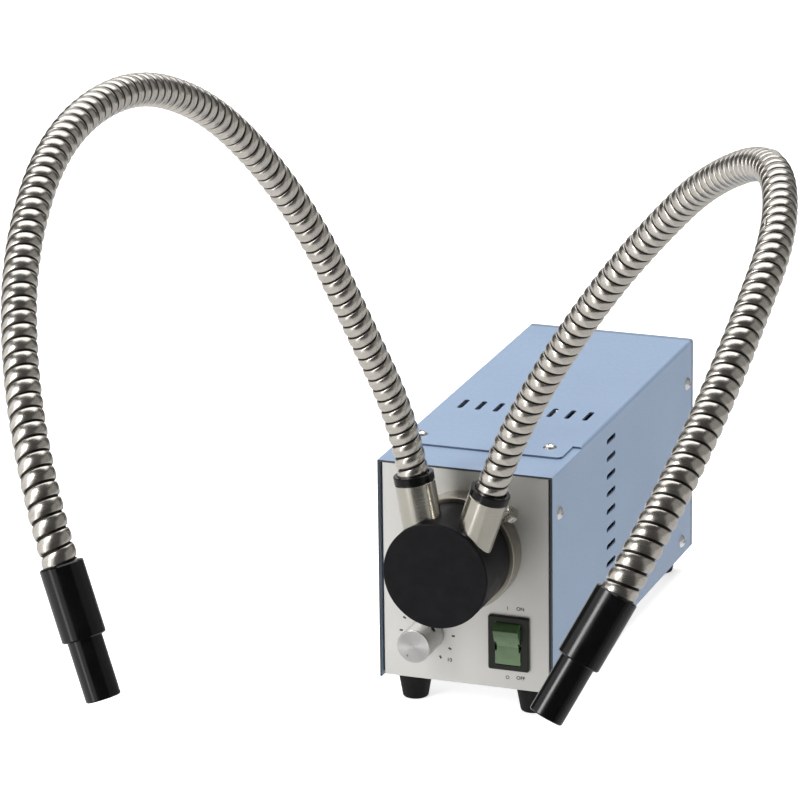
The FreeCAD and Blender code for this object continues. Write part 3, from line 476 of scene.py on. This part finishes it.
def board_material():
    """Green solder mask with copper tracks under it and pads."""
    m = Mat("board_green", color=(0.02, 0.11, 0.04), rough=0.3, spec=0.5)
    b = m.node("ShaderNodeTexBrick")
    m.tree.links.new(m.vec(scale=(1, 1, 1)), b.inputs["Vector"])
    b.inputs["Scale"].default_value = 120.0
    b.inputs["Mortar Size"].default_value = 0.07
    b.inputs["Color1"].default_value = (1, 1, 1, 1)
    b.inputs["Color2"].default_value = (1, 1, 1, 1)
    b.inputs["Mortar"].default_value = (0, 0, 0, 1)
    tracks = b.outputs["Color"]
    weave = m.noise(900.0, 2)
    base = m.mix(m.remap(weave, 0.3, 0.7, 0, 1), (0.014, 0.085, 0.03), (0.022, 0.125, 0.045))
    m.put("color", m.mix(tracks, (0.035, 0.20, 0.07), base))
    m.bump(tracks, 0.3, 0.00003)
    return m.mat


def parts_material():
    """Electronic parts: sleeve colour changes from part to part, with a moulded grain."""
    m = Mat("parts_mixed", color=(0.08, 0.08, 0.09), rough=0.4)
    cell = m.voronoi(38.0, "F1", out="Color", vector=m.vec(scale=(1, 1, 0.02)))
    sep = m.node("ShaderNodeSeparateColor")
    m.tree.links.new(cell, sep.inputs[0])
    tone = m.ramp(sep.outputs[0], [(0.0, (0.02, 0.02, 0.022)), (0.35, (0.03, 0.05, 0.13)), (0.55, (0.35, 0.36, 0.37)),
                                   (0.75, (0.02, 0.02, 0.02)), (0.9, (0.30, 0.16, 0.05))], "CONSTANT")
    fine = m.noise(1600.0, 2)
    m.put("color", m.mix(0.25, tone, m.ramp(fine, [(0.3, 0.6), (0.7, 1.0)]), "MULTIPLY"))
    m.put("rough", m.remap(fine, 0.3, 0.7, 0.3, 0.5))
    m.bump(fine, 0.15, 0.00003)
    return m.mat


def glass(name, color, rough=0.03, alpha=0.35):
    m = Mat(name, color=color, rough=rough, trans=0.9, ior=1.48, alpha=1.0)
    sme = m.noise(140.0, 3, 0.6)
    m.put("rough", m.remap(sme, 0.3, 0.7, rough, rough + 0.08))
    m.bump(m.noise(260.0, 2), 0.03, 0.00003)
    return m.mat


def reflector_material():
    """Coated glass reflector: pebbled mirror with a violet-green cast."""
    m = Mat("reflector_coat", color=(0.75, 0.76, 0.80), metal=0.9, rough=0.16)
    cell = m.voronoi(420.0, "F1")
    hue = m.noise(30.0, 2)
    m.put("color", m.mix(m.remap(hue, 0.3, 0.7, 0, 1), (0.72, 0.70, 0.84), (0.70, 0.80, 0.76)))
    m.put("rough", m.remap(cell, 0, 0.6, 0.1, 0.24))
    m.bump(cell, 0.6, 0.0002)
    return m.mat


def ceramic_material():
    m = Mat("ceramic_white", color=(0.80, 0.78, 0.72), rough=0.5)
    m.put("color", m.vary(0.05, 60.0, 800.0, 0.07))
    m.put("rough", m.remap(m.noise(500.0, 3), 0.3, 0.7, 0.42, 0.6))
    m.bump(m.noise(1000.0, 3), 0.2, 0.00005)
    return m.mat


def fibre_material():
    """Packed glass fibres, polished at the ends: every fibre a small bright dot."""
    m = Mat("fibre_bundle", color=(0.62, 0.64, 0.60), rough=0.18, spec=0.6)
    cell = m.voronoi(9000.0, "F1")
    tint = m.noise(700.0, 3)
    dots = m.ramp(cell, [(0.0, (0.78, 0.80, 0.76)), (0.35, (0.55, 0.57, 0.52)), (0.6, (0.10, 0.10, 0.09))])
    m.put("color", m.mix(m.remap(tint, 0.3, 0.7, 0.0, 0.35), dots, (0.35, 0.36, 0.30)))
    m.put("rough", m.remap(cell, 0, 0.6, 0.08, 0.4))
    m.bump(cell, 0.3, 0.00002)
    return m.mat


def guard_material():
    m = Mat("guard_wire", color=(0.62, 0.61, 0.59), metal=1.0, rough=0.16)
    draw = m.noise(900.0, 3, 0.6)
    m.put("color", m.vary(0.06, 70.0, 1500.0, 0.04))
    m.put("rough", m.remap(draw, 0.3, 0.7, 0.1, 0.24))
    m.bump(draw, 0.1, 0.00003)
    return m.mat


LEFT = [(-17.0, -174.5, 153.4), (-22.9, -174.5, 186.6), (-39.7, -202.0, 251.3), (-55.3, -223.7, 307.1),
        (-71.7, -259.1, 358.3), (-85.2, -309.9, 401.1), (-92.4, -388.4, 429.5), (-95.9, -472.3, 423.1),
        (-84.0, -546.6, 387.0), (-62.8, -599.0, 339.7), (-34.2, -639.8, 289.7), (-23.5, -644.0, 262.2)]
RIGHT = [(28.3, -174.5, 148.2), (37.3, -174.5, 174.4), (65.3, -181.1, 226.5), (101.7, -195.2, 279.8),
         (136.4, -211.0, 321.4), (176.3, -243.3, 362.7), (233.9, -320.8, 400.1), (258.9, -392.5, 385.2),
         (261.5, -463.4, 355.1), (256.2, -518.4, 318.0), (243.8, -568.5, 276.1), (232.9, -579.1, 253.8)]
CROWN_RUN, TIP_RUN = 5, 9


def run_dir(route, k):
    return (Vector(route[k + 1]) - Vector(route[k])).normalized()


screw_steel = nickel_turned("screw_nickel", (0, 0, 1), (0.90, 0.895, 0.88), 0.27)
collar_metal = nickel_turned("collar_satin", (0, 1, 0), (0.36, 0.34, 0.29), 0.30)
thumb_metal = nickel_turned("thumb_nickel", (0.76, 0, 0.65), (0.58, 0.56, 0.50), 0.24)
# The right ferrule's nickel is given a deeper colour than the left's: painted shade on a copy of the same nickel.
nickel_left = nickel_turned("ferrule_nickel_left", run_dir(LEFT, 0), (0.53, 0.51, 0.455), 0.19)
nickel_right = nickel_turned("ferrule_nickel_right", run_dir(RIGHT, 0), (0.48, 0.46, 0.41), 0.19)
nickel_y = nickel_turned("nickel_small", (0, 1, 0), (0.72, 0.70, 0.65), 0.24)
brass = nickel_turned("brass_turned", (0, 0, 1), (0.72, 0.52, 0.22), 0.26)
tip_left = black_anodised("tip_black_left", 0.17, (0.0022, 0.0020, 0.0025), 0.36, run_dir(LEFT, 10), 0.025)
tip_right = black_anodised("tip_black_right", 0.17, (0.0022, 0.0020, 0.0025), 0.36, run_dir(RIGHT, 10), 0.025)
ring_black = black_anodised("ring_black", 0.16, (0.0024, 0.0024, 0.0028), 0.24)
oxide = black_anodised("black_oxide", 0.35, (0.02, 0.02, 0.022))
housing_black = plastic("switch_black", (0.0085, 0.0105, 0.0080), 0.36, 2200.0, 0.18, 0.3)
fan_black = plastic("fan_black", (0.020, 0.020, 0.021), 0.48, 1500.0, 0.25)
inlet_black = plastic("inlet_black", (0.016, 0.016, 0.017), 0.36, 1900.0, 0.2)
tinned = satin_metal("tinned_brass", (0.66, 0.64, 0.60), 0.3)

LOOKS = {
    "base_chassis": zinc_material(), "front_frame": sheet_blue, "front_panel": panel_silver, "cover": sheet_blue,
    "cover_screws": screw_steel, "feet": rubber_material(), "foot_screws": screw_steel, "rear_panel": rear_paint,
    "rear_screws": screw_steel, "socket_collar": collar_metal, "collar_ring_nut": brass, "potentiometer": nickel_y,
    "switch_housing": housing_black, "switch_terminals": tinned, "fan_frame": fan_black, "fan_guard": guard_material(),
    "power_inlet": inlet_black, "inlet_pins": tinned, "fuse_holder": inlet_black, "fuse_cap": inlet_black,
    "transformer_core": core_material(), "transformer_coil": coil_material(), "transformer_bolts": screw_steel,
    "control_board": board_material(), "board_components": parts_material(), "board_standoffs": brass,
    "lamp_bracket": satin_metal("lamp_bracket_steel", (0.6, 0.6, 0.6), 0.35), "lamp_reflector": reflector_material(),
    "lamp_capsule": glass("lamp_glass", (0.95, 0.96, 0.97)), "lamp_socket": ceramic_material(),
    "heat_filter": glass("filter_glass", (0.80, 0.93, 0.90)), "dimmer_knob": knob_material(), "knob_set_screw": oxide,
    "potentiometer_shaft": brass, "switch_rocker": rocker_material(), "thumb_screw": thumb_metal, "fan_rotor": fan_black,
    "head_shell": head_black, "head_plug": head_black, "input_ferrule": nickel_y, "fibre_trunk": fibre_material(),
    "left_ferrule": nickel_left, "right_ferrule": nickel_right, "ferrule_rings": ring_black,
    "left_tip_sleeve": tip_left, "left_tip_nozzle": tip_left, "right_tip_sleeve": tip_right, "right_tip_nozzle": tip_right,
}
fibre = LOOKS["fibre_trunk"]
for side in ("left", "right"):
    for k in (1, 2, 3):
        LOOKS["%s_fibres_%d" % (side, k)] = fibre
        LOOKS["%s_hose_%d" % (side, k)] = hose_steel
missing = sorted(set(nodes) - set(LOOKS))
if missing:
    raise RuntimeError("no look for %s" % missing)
for name, mat in LOOKS.items():
    o = nodes[name]
    if not o.data.materials:
        o.data.materials.append(mat)
    for s in o.material_slots:
        s.material = mat


# ---------------------------------------------------------------- printed marks
def ink_material():
    m = Mat("panel_ink", color=(0.035, 0.034, 0.034), rough=0.5, spec=0.35)
    wear = m.noise(2600.0, 3, 0.6)
    m.put("color", m.mix(m.remap(wear, 0.4, 0.75, 0.0, 0.8), (0.028, 0.027, 0.027), (0.085, 0.083, 0.080)))
    m.put("rough", m.remap(wear, 0.3, 0.7, 0.42, 0.6))
    m.bump(wear, 0.15, 0.00001)
    return m.mat


ink = ink_material()
INK_Y0, INK_Y1 = -0.13653, -0.13649


def mesh_object(name, me, mats, smooth=False):
    o = bpy.data.objects.new(name, me)
    scene.collection.objects.link(o)
    for mt in mats:
        me.materials.append(mt)
    for p in me.polygons:
        p.use_smooth = smooth
    return o


def outline_prism(bm, pts, y0, y1):
    """Closed prism over an outline of (x, z) points, metres."""
    front = [bm.verts.new((x, y0, z)) for x, z in pts]
    back = [bm.verts.new((x, y1, z)) for x, z in pts]
    bm.faces.new(front)
    bm.faces.new(back[::-1])
    for i in range(len(pts)):
        j = (i + 1) % len(pts)
        bm.faces.new((front[j], front[i], back[i], back[j]))


def rounded_rect(cx, cz, w, h, r, angle=0.0, seg=4):
    out = []
    ca, sa = math.cos(angle), math.sin(angle)
    for qx, qz, a0 in ((1, 1, 0), (-1, 1, 90), (-1, -1, 180), (1, -1, 270)):
        for k in range(seg + 1):
            a = math.radians(a0 + 90 * k / seg)
            x = qx * (w / 2 - r) + r * math.cos(a)
            z = qz * (h / 2 - r) + r * math.sin(a)
            out.append((cx + x * ca - z * sa, cz + x * sa + z * ca))
    return out


KNOB_X, KNOB_Z = -23.9 * MM, 44.8 * MM
bm = bmesh.new()
for k in range(11):
    a = math.radians(240 - 30 * k)
    r = 16.0 * MM
    outline_prism(bm, rounded_rect(KNOB_X + r * math.cos(a), KNOB_Z + r * math.sin(a), 2.0 * MM, 1.15 * MM, 0.22 * MM, a),
                  INK_Y0, INK_Y1)
bmesh.ops.recalc_face_normals(bm, faces=bm.faces)
me = bpy.data.meshes.new("dial_ticks")
bm.to_mesh(me)
bm.free()
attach(mesh_object("dial_ticks", me, [ink]), "housing")


def lettering(name, words, size, x, z, weight=0.0):
    cu = bpy.data.curves.new(name, "FONT")
    cu.body = words
    cu.size = size
    cu.align_x, cu.align_y = "CENTER", "CENTER"
    cu.extrude = (INK_Y1 - INK_Y0) / 2
    cu.offset = weight
    cu.resolution_u = 6
    o = bpy.data.objects.new(name + "_curve", cu)
    scene.collection.objects.link(o)
    bpy.context.view_layer.update()
    me = bpy.data.meshes.new_from_object(o.evaluated_get(bpy.context.evaluated_depsgraph_get()))
    bpy.data.objects.remove(o)
    bpy.data.curves.remove(cu)
    me.transform(Matrix.Translation((x, (INK_Y0 + INK_Y1) / 2, z)) @ Matrix.Rotation(math.pi / 2, 4, "X"))
    b = bmesh.new()
    b.from_mesh(me)
    bmesh.ops.remove_doubles(b, verts=b.verts, dist=1e-7)
    b.to_mesh(me)
    b.free()
    me.materials.clear()
    me.name = name
    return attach(mesh_object(name, me, [ink]), "housing")


def at_dial(radius, degrees):
    a = math.radians(degrees)
    return KNOB_X + radius * MM * math.cos(a), KNOB_Z + radius * MM * math.sin(a)


x, z = at_dial(20.2, 227)
lettering("dial_low", "0", 0.0032, x, z, 0.00008)
x, z = at_dial(20.2, -48)
lettering("dial_high", "10", 0.0032, x, z, 0.00008)
lettering("switch_on", "ON", 0.0030, 33.1 * MM, 66.0 * MM, 0.00010)
lettering("switch_on_bar", "I", 0.0030, 25.4 * MM, 65.7 * MM, 0.00006)
lettering("switch_off", "OFF", 0.0030, 33.1 * MM, 23.6 * MM, 0.00010)
lettering("switch_off_ring", "O", 0.0030, 25.1 * MM, 23.2 * MM, 0.00006)


# ---------------------------------------------------------------- goosenecks
PITCH = 7.7 * MM
HOSE_R = 9.0 * MM
AROUND = 56
# One turn of the strip: place along the pitch, drop below the crest in mm. A narrow groove, then a crowned band.
PROFILE = [(0.000, 1.50), (0.060, 1.50), (0.076, 1.10), (0.092, 0.80), (0.125, 0.60), (0.180, 0.42), (0.255, 0.245),
           (0.340, 0.105), (0.430, 0.023), (0.5075, 0.00), (0.585, 0.023), (0.675, 0.105), (0.760, 0.245),
           (0.835, 0.42), (0.890, 0.60), (0.923, 0.80), (0.939, 1.10), (0.955, 1.50)]


def centreline(route):
    """Points along the route's own spline, in metres."""
    cu = bpy.data.curves.new("route", "CURVE")
    cu.dimensions = "3D"
    sp = cu.splines.new("NURBS")
    sp.points.add(len(route) - 1)
    for p, q in zip(sp.points, route):
        p.co = (q[0] * MM, q[1] * MM, q[2] * MM, 1.0)
    sp.order_u = 3
    sp.use_endpoint_u = True
    cu.resolution_u = 48
    o = bpy.data.objects.new("route", cu)
    scene.collection.objects.link(o)
    bpy.context.view_layer.update()
    me = bpy.data.meshes.new_from_object(o.evaluated_get(bpy.context.evaluated_depsgraph_get()))
    co = np.array([v.co for v in me.vertices], float)
    bpy.data.objects.remove(o)
    bpy.data.curves.remove(cu)
    bpy.data.meshes.remove(me)
    if np.linalg.norm(co[0] - np.array(route[0]) * MM) > np.linalg.norm(co[-1] - np.array(route[0]) * MM):
        co = co[::-1]
    keep = [0] + [i for i in range(1, len(co)) if np.linalg.norm(co[i] - co[i - 1]) > 1e-7]
    return co[keep]


class Line:
    """A centreline with a frame that doesn't twist, read by length along it."""

    def __init__(self, co, before, after):
        d0 = (co[1] - co[0]) / np.linalg.norm(co[1] - co[0])
        d1 = (co[-1] - co[-2]) / np.linalg.norm(co[-1] - co[-2])
        co = np.vstack([co[0] - d0 * before, co, co[-1] + d1 * after])
        seg = np.diff(co, axis=0)
        ln = np.linalg.norm(seg, axis=1)
        self.s = np.concatenate([[0], np.cumsum(ln)])
        self.co = co
        d = seg / ln[:, None]
        t = np.vstack([d[0], (d[:-1] + d[1:]) / 2, d[-1]])
        t /= np.linalg.norm(t, axis=1)[:, None]
        n = np.cross(t[0], np.array([0.0, 1.0, 0.0]))
        n /= np.linalg.norm(n)
        ns = [n]
        for i in range(1, len(t)):
            n = ns[-1] - t[i] * np.dot(ns[-1], t[i])
            ns.append(n / np.linalg.norm(n))
        self.t, self.n = t, np.array(ns)
        self.length = self.s[-1]

    def at(self, s):
        def read(a):
            return np.stack([np.interp(s, self.s, a[:, k]) for k in range(3)], axis=-1)
        p, t, n = read(self.co), read(self.t), read(self.n)
        t /= np.linalg.norm(t, axis=-1, keepdims=True)
        n -= t * np.sum(n * t, axis=-1, keepdims=True)
        n /= np.linalg.norm(n, axis=-1, keepdims=True)
        return p, n, np.cross(t, n)


def hose_piece(name, line, i0, i1):
    """A closed length of strip-wound hose between two rows of the winding."""
    J, n = len(PROFILE), AROUND
    last = line.length
    turns = int(math.ceil(last / PITCH))

    def place(i, j):
        v = i // J - 1 + PROFILE[i % J][0]
        s = PITCH * (v + j / n)
        r = HOSE_R - PROFILE[i % J][1] * MM
        lo, hi = 0.5 * MM, last - 0.5 * MM
        if s < lo:
            s = lo * (s + PITCH) / (lo + PITCH)
            r = HOSE_R - 0.4 * MM
        elif s > hi:
            s = hi + (s - hi) / ((turns + 2) * PITCH - hi) * (last - hi)
            r = HOSE_R - 0.4 * MM
        return s, r

    cells = [(i, j) for i in range(i0, i1 + 1) for j in range(n)] + [(i, 0) for i in range(i1 + 1, i1 + J + 1)]
    sr = np.array([place(i, j) for i, j in cells])
    ang = np.array([2 * math.pi * j / n for _, j in cells])
    p, nn, bb = line.at(sr[:, 0])
    co = p + sr[:, 1][:, None] * (np.cos(ang)[:, None] * nn + np.sin(ang)[:, None] * bb)

    def vid(i, j):
        if j == n:
            i, j = i + J, 0
        return (i - i0) * n + j if i <= i1 else (i1 - i0 + 1) * n + (i - i1 - 1)

    verts = [tuple(v) for v in co]
    faces, uvs = [], []
    for i in range(i0, i1):
        v0 = i // J + PROFILE[i % J][0]
        v1 = (i + 1) // J + PROFILE[(i + 1) % J][0]
        for j in range(n):
            faces.append((vid(i, j), vid(i, j + 1), vid(i + 1, j + 1), vid(i + 1, j)))
            uvs += [(j / n, v0), ((j + 1) / n, v0), ((j + 1) / n, v1), (j / n, v1)]
    side = len(faces)
    for i, flip in ((i0, False), (i1, True)):
        loop = [vid(i, j) for j in range(n)] + [vid(i + k, 0) for k in range(J, 0, -1)]
        mid = np.mean([sr[k, 0] for k in loop])
        c = line.at(np.array([mid]))[0][0]
        verts.append(tuple(c))
        ci = len(verts) - 1
        for k in range(len(loop)):
            a, b = loop[k], loop[(k + 1) % len(loop)]
            faces.append((a, b, ci) if flip else (b, a, ci))
            uvs += [(0.5, 0.05)] * 3
    me = bpy.data.meshes.new(name)
    me.from_pydata(verts, [], faces)
    layer = me.uv_layers.new(name="strip")
    layer.data.foreach_set("uv", np.array(uvs, np.float32).ravel())
    me.materials.append(hose_steel)
    o = bpy.data.objects.new(name, me)
    scene.collection.objects.link(o)
    smooth = [k < side for k in range(len(faces))]
    me.polygons.foreach_set("use_smooth", smooth)
    me.update()
    me.validate()
    return o


def nearest_row(line, point):
    """The groove row nearest to a point on the line."""
    d = np.linalg.norm(line.co - np.array(point) * MM, axis=1)
    s = line.s[int(np.argmin(d))]
    return (int(round(s / PITCH)) + 1) * len(PROFILE)


for side, route in (("left", LEFT), ("right", RIGHT)):
    line = Line(centreline(route), 2.4 * MM, 7.0 * MM)
    turns = int(math.ceil(line.length / PITCH))
    J = len(PROFILE)
    cut1 = nearest_row(line, route[3])
    cut2 = nearest_row(line, route[7])
    rows = [0, cut1, cut2, (turns + 1) * J]
    lower, upper, tip = side + "_arm_lower", side + "_arm_upper", side + "_arm_tip"
    c0, d0 = Vector(route[0]) * MM, run_dir(route, 0)
    crown, dc = (Vector(route[CROWN_RUN]) + Vector(route[CROWN_RUN + 1])) / 2 * MM, run_dir(route, CROWN_RUN)
    knee, dk = (Vector(route[TIP_RUN]) + Vector(route[TIP_RUN + 1])) / 2 * MM, run_dir(route, TIP_RUN)
    joins = [("light_guide", lower, c0 - d0 * 0.006, c0 + d0 * 0.024),
             (lower, upper, crown - dc * 0.040, crown + dc * 0.040),
             (upper, tip, knee - dk * 0.034, knee + dk * 0.034)]
    for k, (a, b, s0, s1) in enumerate(joins):
        o = hose_piece("%s_gooseneck_%d" % (side, k + 1), line, rows[k], rows[k + 1])
        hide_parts("%s_hose_%d" % (side, k + 1))
        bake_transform(o)


# ---------------------------------------------------------------- floor, world, lights
def floor_material():
    m = Mat("floor_white", color=(0.90, 0.90, 0.90), rough=0.7, spec=0.2)
    m.put("color", m.ramp(m.noise(6.0, 3), [(0.3, 0.895), (0.7, 0.905)]))
    m.bsdf.inputs["Emission Color"].default_value = (1, 1, 1, 1)
    m.bsdf.inputs["Emission Strength"].default_value = 0.62
    return m.mat


bm = bmesh.new()
bmesh.ops.create_grid(bm, x_segments=8, y_segments=8, size=9.0)
me = bpy.data.meshes.new("floor")
bm.to_mesh(me)
bm.free()
floor = mesh_object("floor", me, [floor_material()])
floor.visible_glossy = False

world = bpy.data.worlds.new("studio")
scene.world = world
world.use_nodes = True
wt = world.node_tree
wt.nodes.clear()
wout = wt.nodes.new("ShaderNodeOutputWorld")
wmix = wt.nodes.new("ShaderNodeMixShader")
path = wt.nodes.new("ShaderNodeLightPath")
bg_dark = wt.nodes.new("ShaderNodeBackground")
bg_white = wt.nodes.new("ShaderNodeBackground")
bg_dark.inputs[0].default_value = (1.0, 0.98, 0.96, 1)
bg_dark.inputs[1].default_value = 0.07
bg_white.inputs[0].default_value = (1, 1, 1, 1)
bg_white.inputs[1].default_value = 1.0
wt.links.new(path.outputs["Is Camera Ray"], wmix.inputs[0])
wt.links.new(bg_dark.outputs[0], wmix.inputs[1])
wt.links.new(bg_white.outputs[0], wmix.inputs[2])
wt.links.new(wmix.outputs[0], wout.inputs[0])

TARGET = Vector((0.05, -0.26, 0.20))


def softbox(name, at, size_x, size_y, watts, color=(1, 1, 1), aim=TARGET):
    ld = bpy.data.lights.new(name, "AREA")
    ld.shape = "RECTANGLE"
    ld.size, ld.size_y = size_x, size_y
    ld.energy = watts
    ld.color = color
    o = bpy.data.objects.new(name, ld)
    scene.collection.objects.link(o)
    o.location = at
    o.rotation_mode = "QUATERNION"
    o.rotation_quaternion = (Vector(aim) - Vector(at)).to_track_quat("-Z", "Y")
    return o


def around(degrees, distance, z):
    """A place round the target: degrees to the right of the camera's own direction, seen from above."""
    a = math.radians(degrees)
    b = Vector((BACK_AXIS.x, BACK_AXIS.y, 0)).normalized()
    r = Vector((RIGHT_AXIS.x, RIGHT_AXIS.y, 0)).normalized()
    p = Vector((TARGET.x, TARGET.y, 0)) + (b * math.cos(a) + r * math.sin(a)) * distance
    return (p.x, p.y, z)


LEVEL = (TARGET.x, TARGET.y, 0.30)
softbox("left_wall", around(-70, 1.9, 0.30), 3.3, 3.2, 31.0, (1.0, 0.995, 0.985), LEVEL)
softbox("left_core", around(-52, 1.8, 0.30), 0.26, 3.0, 7.0, (1.0, 0.995, 0.985), LEVEL)
softbox("tip_core", around(-50, 1.8, 1.33), 0.62, 0.90, 19.0, (1.0, 0.995, 0.985), LEVEL)
softbox("right_wall", around(82, 1.9, 0.30), 3.2, 3.2, 8.5, (1.0, 0.985, 0.955), LEVEL)
softbox("top_box", (-0.25, 0.55, 2.2), 3.0, 1.9, 36.0, (1.0, 1.0, 1.0))
softbox("back_box", (-0.75, 2.0, 0.95), 2.4, 1.0, 6.0, (1.0, 1.0, 1.0))
softbox("top_fill", (-0.1, 0.2, 2.4), 2.6, 2.6, 44.0, (1.0, 1.0, 1.0)).visible_glossy = False

# Two grey cards lie under the object for the metal to mirror: a lighter one on the left, a darker one on the right.
def mirror_card(name, mid_x, half_x, strength):
    bm = bmesh.new()
    bmesh.ops.create_grid(bm, x_segments=6, y_segments=6, size=1.0)
    bmesh.ops.transform(bm, matrix=Matrix.Translation((mid_x, 0.62, -0.004)) @ Matrix.Diagonal((half_x, 1.24, 1.0, 1.0)), verts=bm.verts)
    me = bpy.data.meshes.new(name)
    bm.to_mesh(me)
    bm.free()
    m = Mat(name, color=(0.6, 0.6, 0.6), rough=0.8, spec=0.1)
    m.put("color", m.ramp(m.noise(5.0, 2), [(0.3, 0.58), (0.7, 0.62)]))
    m.bsdf.inputs["Emission Color"].default_value = (1.0, 0.985, 0.96, 1.0)
    m.bsdf.inputs["Emission Strength"].default_value = strength
    card = mesh_object(name, me, [m.mat])
    card.visible_camera = False
    card.visible_diffuse = False
    card.visible_shadow = False


mirror_card("mirror_card", -1.05, 1.15, 0.38)
mirror_card("mirror_card_right", 1.155, 1.05, 0.19)

scene.view_settings.view_transform = "Standard"
scene.view_settings.look = "None"
scene.view_settings.exposure = 0.0
scene.view_settings.gamma = 1.0
